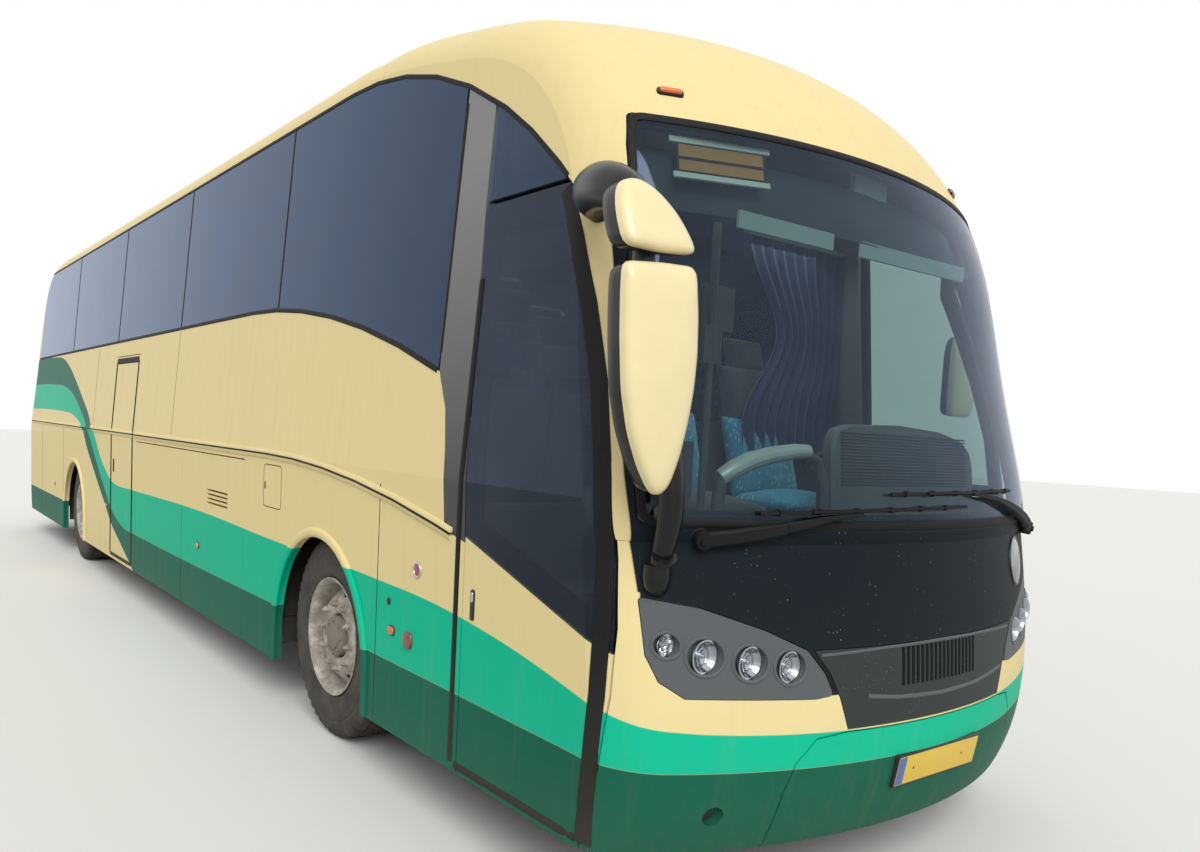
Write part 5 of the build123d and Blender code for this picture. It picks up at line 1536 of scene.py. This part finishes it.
# the driver's and the guide's seats: place and width, then each cushion's share of it, length, depth and foot
cabSeat = dict(
    driver=((5.1, 0.62, 0.95), 0.50), guide=((5.2, -0.15, 0.95), 0.43), cushion=(0.46, 0.13),
    cushionAt=(0.015, 0, 0.38), back=(0.42, 0.125), head=(0.30, 0.115), headShare=0.9, headFoot=(-0.26, 0.78),
    rest=(0.27, 0.19, 0.09), restFoot=(-0.345, 1.04), base=((-0.20, 0.001), (0.16, 0.30)), baseShare=0.36,
    shell=((-0.34, -0.42), (-0.34, 0.42), (0.32, 0.34), (0.32, -0.34)), shellFoot=(-0.19, 0.42),
    shellDepth=(-0.02, 0, -0.004)
)
cabSeats, cabFrames = Shape(), Shape()
for who in ("driver", "guide"):
    (x, y, z), wide = cabSeat[who]
    at = Matrix.Translation((x, y, z))
    cloth = 1 if who == "driver" else 0
    seatAt = at @ Matrix.Translation(cabSeat["cushionAt"])
    cushion(cabSeats.paint(cloth), (wide, *cabSeat["cushion"]), seatAt, quilt, (12, 12))
    length, depth = cabSeat["back"]
    cushion(
        cabSeats.paint(1), (wide, length, depth), at @ seatBack(length),
        [(0.5, False), (-0.5, False), (-0.1, True)], (12, 12)
    )
    length, depth = cabSeat["head"]
    headAt = at @ seatBack(length, cabSeat["headFoot"])
    cushion(
        cabSeats.paint(2), (wide * cabSeat["headShare"], length, depth), headAt,
        [(0.5, False), (-0.5, False)], (12, 12)
    )
    if who == "driver":
        restAt = at @ seatBack(cabSeat["rest"][1], cabSeat["restFoot"])
        cushion(cabSeats, cabSeat["rest"], restAt, [], (10, 8))
    (x0, z0), (x1, z1) = cabSeat["base"]
    half = wide * cabSeat["baseShare"]
    cabFrames.block((x + x0, y - half, z + z0), (x + x1, y + half, z + z1))
    shellAt = at @ seatBack(seat["shellLength"], cabSeat["shellFoot"])
    shell = [shellAt @ Vector((a, wide * b, 0)) for a, b in cabSeat["shell"]]
    cabFrames.slab(shell, cabSeat["shellDepth"])
build("cabSeats", cabSeats, "clothDark guide clothDark", smooth=60)
build("cabSeatFrames", cabFrames, "dash")
print("inside: seats")

# cab: louvred hood before the driver, hand wheel, dials, the guide's handrail, pole, door rail and boxes
cab = dict(
    hood=[
        (0.03, 1.328), (0.03, 1.64), (0.06, 1.70), (0.16, 1.725), (0.5, 1.738), (0.82, 1.722), (1.0, 1.685),
        (1.08, 1.63), (1.10, 1.55), (1.10, 1.328)
    ],
    back=5.735, front=5.80, lean=0.10, top=1.74, louvres=17, firstLouvre=1.47, louvrePitch=0.0135,
    louvre=((0, 0), (0.006, 0.002), (0.006, 0.006), (0, 0.0085)), louvreFrom=0.08, louvreLength=0.94,
    wheel=(5.49, 0.62, 1.60), rim=0.225, rimSize=0.015, spoke=(0.055, 0.22), spokes=(90, 210, 330),
    boss=[(0.0, 0.022), (0.05, 0.018), (0.068, 0.006), (0.066, -0.02), (0.034, -0.06)],
    dials=((0.40, 0.035), (0.56, 0.062), (0.68, 0.062), (0.84, 0.035)), dialAt=(5.60, 1.375),
    handle=[
        (5.93, -0.74, 1.50), (5.95, -0.70, 1.53), (5.95, -0.62, 1.562), (5.95, -0.50, 1.588),
        (5.95, -0.38, 1.603), (5.95, -0.30, 1.606)
    ],
    handleSize=[0.03, 0.034, 0.034, 0.032, 0.03, 0.026],
    bars=(
        ([(5.95, -0.32, 1.60), (5.95, -0.24, 1.57), (5.95, -0.20, 1.48), (5.95, -0.19, 1.33)], 0.022),
        ([(5.93, -0.735, 1.505), (5.93, -0.745, 1.42), (5.93, -0.75, 1.32)], 0.024),
        ([(5.55, -0.45, 1.32), (5.55, -0.45, 2.48)], 0.017),
        (
            [
                (5.45, -0.62, 0.955), (5.45, -0.62, 1.75), (5.35, -0.62, 1.85), (4.75, -0.62, 1.87),
                (4.7, -0.62, 1.31)
            ],
            0.016
        )
    ),
    boxes=(
        ((5.485, -0.47, 2.07), (5.515, -0.29, 2.25)), ((5.535, -0.50, 1.93), (5.565, -0.40, 2.08)),
        ((5.30, -0.72, 1.0), (5.34, -0.30, 1.62))
    ),
)
hood, fittings = Shape(), Shape()
outline = rounded(cab["hood"], 0.03, True, 3)
centre = sum(outline, Vector((0, 0))) / len(outline)
back, front = cab["back"], cab["front"]
rows = []
for x, share in ((back, 0.97), (back + 0.012, 1.0), (front - 0.012, 1.0), (front, 0.975)):
    leans = [x + (cab["top"] - p.y) * cab["lean"] for p in outline]
    rows.append([Vector((at, *(centre + (p - centre) * share))) for at, p in zip(leans, outline)])
hood.loft(rows)
for k in range(cab["louvres"]):
    z = cab["firstLouvre"] + cab["louvrePitch"] * k
    x = cab["front"] + (cab["top"] - z) * cab["lean"] - 0.002
    section = [(x + a, cab["louvreFrom"], z + b) for a, b in cab["louvre"]]
    hood.paint(1).slab(section, (0, cab["louvreLength"], 0))
build("dashHood", hood, "hood gloss")
tilt = Vector((-0.4, 0, 0.92)).normalized()
rimEdge = [(cab["rim"] + u, v) for u, v in ellipse((0, 0), cab["rimSize"], cab["rimSize"], 12)]
fittings.lathe(rimEdge, cab["wheel"], tilt, 56, ring=True)
fittings.lathe(cab["boss"], cab["wheel"], tilt, 32)
start, end = cab["spoke"]
for turn in cab["spokes"]:
    way = Matrix.Rotation(math.radians(turn), 3, tilt) @ tilt.orthogonal().normalized()
    fittings.tube([Vector(cab["wheel"]) + way * start, Vector(cab["wheel"]) + way * end], [0.016, 0.011], 8)
x, z = cab["dialAt"]
for y, r in cab["dials"]:
    dial = [(0.0, 0.002), (r * 0.9, 0.002), (r, 0.006), (r, -0.004)]
    fittings.paint(1).lathe(dial, (x, y, z), (-1, 0, 0.1), 28)
fittings.paint(2).tube(cab["handle"], cab["handleSize"], 12)
for bar, size in cab["bars"]:
    fittings.paint(0).tube(bar, size, 10)
for low, high in cab["boxes"]:
    fittings.block(low, high)
build("cabFittings", fittings, "dash mirrorGlass rail", bevel=0.003)

# behind the top of the screen: a blank route sign, an inside mirror, two visors and a dark header panel
top = dict(
    sign=[(5.799, -0.914, 2.657), (5.913, -0.546, 2.666), (5.965, -0.61, 2.50), (5.854, -0.944, 2.498)],
    signBack=(-0.05, 0.012, 0), signDepth=0.008,
    bars=(
        (1, 0.04, 0.96, 0.10, 0.90, 0.0), (2, 0.06, 0.92, 0.14, 0.42, 0.004),
        (2, 0.06, 0.92, 0.50, 0.74, 0.004), (0, -0.03, 1.0, -0.03, 0.10, 0.006),
        (0, 0.0, 0.98, 0.80, 0.92, 0.006)
    ),
    mirror=((5.86, -0.05, 2.62), (5.885, 0.16, 2.72)), glass=((5.853, -0.042, 2.627), (5.861, 0.152, 2.713)),
    stem=[(5.87, 0.055, 2.72), (5.82, 0.055, 2.78)], stemSize=0.009,
    visors=((-0.74, -0.24, 5.93), (-0.08, 0.62, 5.95)), visor=(2.36, 2.42, 0.012),
    header=(2.44, 2.50, 2.56, 2.62, 2.67), headerHalf=1.02, headerSteps=24, headerSink=0.10, headerWall=0.006,
)
screenTop = Shape()
a, b, c, d = (Vector(p) + Vector(top["signBack"]) for p in top["sign"])
along, down = b - a, d - a
out = along.cross(down).normalized()
out = out if out.x > 0 else -out
# the sign's bars: finish, two ends, top and foot as shares of its face, and how far they stand out
for kind, u0, u1, v0, v1, lift in top["bars"]:
    place = [a + along * u + down * v for u, v in ((u0, v0), (u1, v0), (u1, v1), (u0, v1))]
    screenTop.paint(kind).slab([p + out * lift for p in place], out * top["signDepth"])
screenTop.paint(3).block(*top["mirror"])
screenTop.paint(4).block(*top["glass"])
screenTop.paint(1).tube(top["stem"], top["stemSize"], 8)
z0, z1, wall = top["visor"]
for low, high, x in top["visors"]:
    outline = [(x, low, z0), (x + wall, high, z0), (x + wall, high, z1), (x, low, z1)]
    screenTop.paint(5).slab(outline, (wall, 0, 0))
outer = []
half, steps = top["headerHalf"], top["headerSteps"]
for z in top["header"]:
    row = []
    for k in range(steps + 1):
        place, normal = skin.cast("front", -half + 2 * half * k / steps, z)
        row.append(place - normal * top["headerSink"])
    outer.append(row)
inner = [[p - Vector((top["headerWall"], 0, 0)) for p in row] for row in outer]
screenTop.paint(6).loft([row + back[::-1] for row, back in zip(outer, inner)])
screenFinishes = "white gloss amberSlats podLight mirrorGlass visor header"
build("screenTop", screenTop, screenFinishes)

# curtain behind the driver: pleated cloth on a rail of (X, two ends, height), drawn in towards its foot
curtain = dict(
    rail=(4.93, 0.40, 1.155, 2.66), foot=1.58, pleats=9, steps=8, rows=18, depth=0.028, thick=0.0012,
    railOver=0.014, railEnds=(0.34, 1.17), rackRail=(4.6, -5.5, 0.80, 2.70), barSize=0.012
)
cloth = Shape()
x, y0, y1, head = curtain["rail"]
drop = head - curtain["foot"]
steps = curtain["pleats"] * curtain["steps"]
rows = []
for j in range(curtain["rows"] + 1):
    v = j / curtain["rows"]
    gather = 1 - 0.30 * math.sin(min(1.0, v * 1.15) * math.pi) ** 2 - 0.08 * v
    row = []
    for i in range(steps + 1):
        u = i / steps
        sway = 0.6 * noise.noise(Vector((u * 6, v * 2, 1.0)))
        wave = math.sin(2 * math.pi * curtain["pleats"] * u + sway)
        deep = curtain["depth"] * (0.45 + 0.55 * v) * wave
        drift = 0.012 * noise.noise(Vector((u * 9, v * 4, 3.0)))
        row.append(Vector((x + deep + drift, y1 - (y1 - y0) * u * gather - 0.02 * v, head - drop * v)))
    rows.append(row)
face = [[p + Vector((curtain["thick"], 0, 0)) for p in row] for row in rows]
cloth.loft([ahead + back[::-1] for ahead, back in zip(face, rows)])
drape = build("driverCurtain", cloth, "curtain", smooth=75)
bars = Shape()
bars.tube([(x, y, head + curtain["railOver"]) for y in curtain["railEnds"]], curtain["barSize"], 10)
x0, x1, y, z = curtain["rackRail"]
for side in (-1, 1):
    bars.tube([(x0, side * y, z), (x1, side * y, z)], curtain["barSize"], 8)
build("curtainRail", bars, "rail")

# partitions behind the driver and the guide, and trims between the side windows
cabin = dict(
    partitions=(((4.72, 0.38, 1.302), (4.75, 1.19, 1.72)), ((4.60, -0.98, 1.302), (4.63, -0.34, 1.82))),
    trims=coach["windowJoints"][::-1] + (-5.7,), foot=(1.205, 1.45), head=(1.12, 2.72), half=0.035, depth=0.03
)
trims = Shape()
for low, high in cabin["partitions"]:
    trims.block(low, high)
(y0, z0), (y1, z1) = cabin["foot"], cabin["head"]
half = Vector((cabin["half"], 0, 0))
for side in (-1, 1):
    for x in cabin["trims"]:
        low, high = Vector((x, side * y0, z0)), Vector((x, side * y1, z1))
        outline = [low - half, low + half, high + half, high - half]
        trims.paint(1).slab(outline, (0, -side * cabin["depth"], 0))
build("cabinTrims", trims, "dash rack", bevel=0.003)
print("inside: cab and curtain")

# two soft lamps that lighten the cabin: place, length, width and power
cabinLamps = (((5.35, 0.1, 2.62), 0.9, 1.6, 16), ((-0.5, 0.0, 2.66), 9.0, 0.5, 34))
for number, (place, length, width, power) in enumerate(cabinLamps):
    lamp = bpy.data.lights.new("cabinGlow%d" % number, "AREA")
    lamp.shape = "RECTANGLE"
    lamp.size = length
    lamp.size_y = width
    lamp.energy = power
    holder = bpy.data.objects.new("cabinGlow%d" % number, lamp)
    bpy.context.collection.objects.link(holder)
    holder.location = place
    holder.visible_camera = False
    holder.visible_glossy = False


# light: a pale even sky, one wide soft lamp from the front right, and a pale floor
lighting = dict(sky=0.62, sun=2.1, spread=38, turn=(52, 0, 62), floorTone=srgb(196, 194, 190),
                floorSeen=srgb(232, 231, 228), floorSize=60, floorZ=-0.002)


# chosen outputs of a new Light Path node
def rays(root, *names):
    path = root.node("ShaderNodeLightPath", {}, {})
    return [Wire(root.tree, path.socket.node.outputs[name]) for name in names]


def setWorld(values):
    world = bpy.data.worlds.new("paleSky")
    bpy.context.scene.world = world
    world.use_nodes = True
    tree = world.node_tree
    camera, glossy, through = rays(Wire(tree, None), "Is Camera Ray", "Is Glossy Ray", "Is Transmission Ray")
    white = (camera + glossy + through).hold()
    back = tree.nodes["Background"]
    tree.links.new((values["sky"] + white * (1 - values["sky"])).socket, back.inputs["Strength"])
    back.inputs["Color"].default_value = (1, 1, 1, 1)
    lamp = bpy.data.lights.new("softSun", "SUN")
    lamp.energy = values["sun"]
    lamp.angle = math.radians(values["spread"])
    holder = bpy.data.objects.new("softSun", lamp)
    bpy.context.collection.objects.link(holder)
    holder.rotation_euler = tuple(math.radians(a) for a in values["turn"])


def setFloor(values):
    finish = Finish("paleFloor", values["floorTone"], 0.75)
    seen = rays(finish.root, "Is Camera Ray")[0]
    finish.set("Base Color", seen.lay(values["floorSeen"], values["floorTone"]))
    half = values["floorSize"]
    mesh = bpy.data.meshes.new("floor")
    mesh.from_pydata([(a, b, values["floorZ"]) for a, b in corners(half, half)], [], [(0, 1, 2, 3)])
    mesh.materials.append(finish.done())
    floor = bpy.data.objects.new("floor", mesh)
    bpy.context.collection.objects.link(floor)
    floor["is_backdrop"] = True


setWorld(lighting)
setFloor(lighting)
bpy.context.scene.view_settings.view_transform = "Standard"
print("light: set")

low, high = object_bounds()
print("size: CAD", [round(b - a, 3) for a, b in zip(*cadBox)],
      "visual", [round(b - a, 3) for a, b in zip(low, high)])
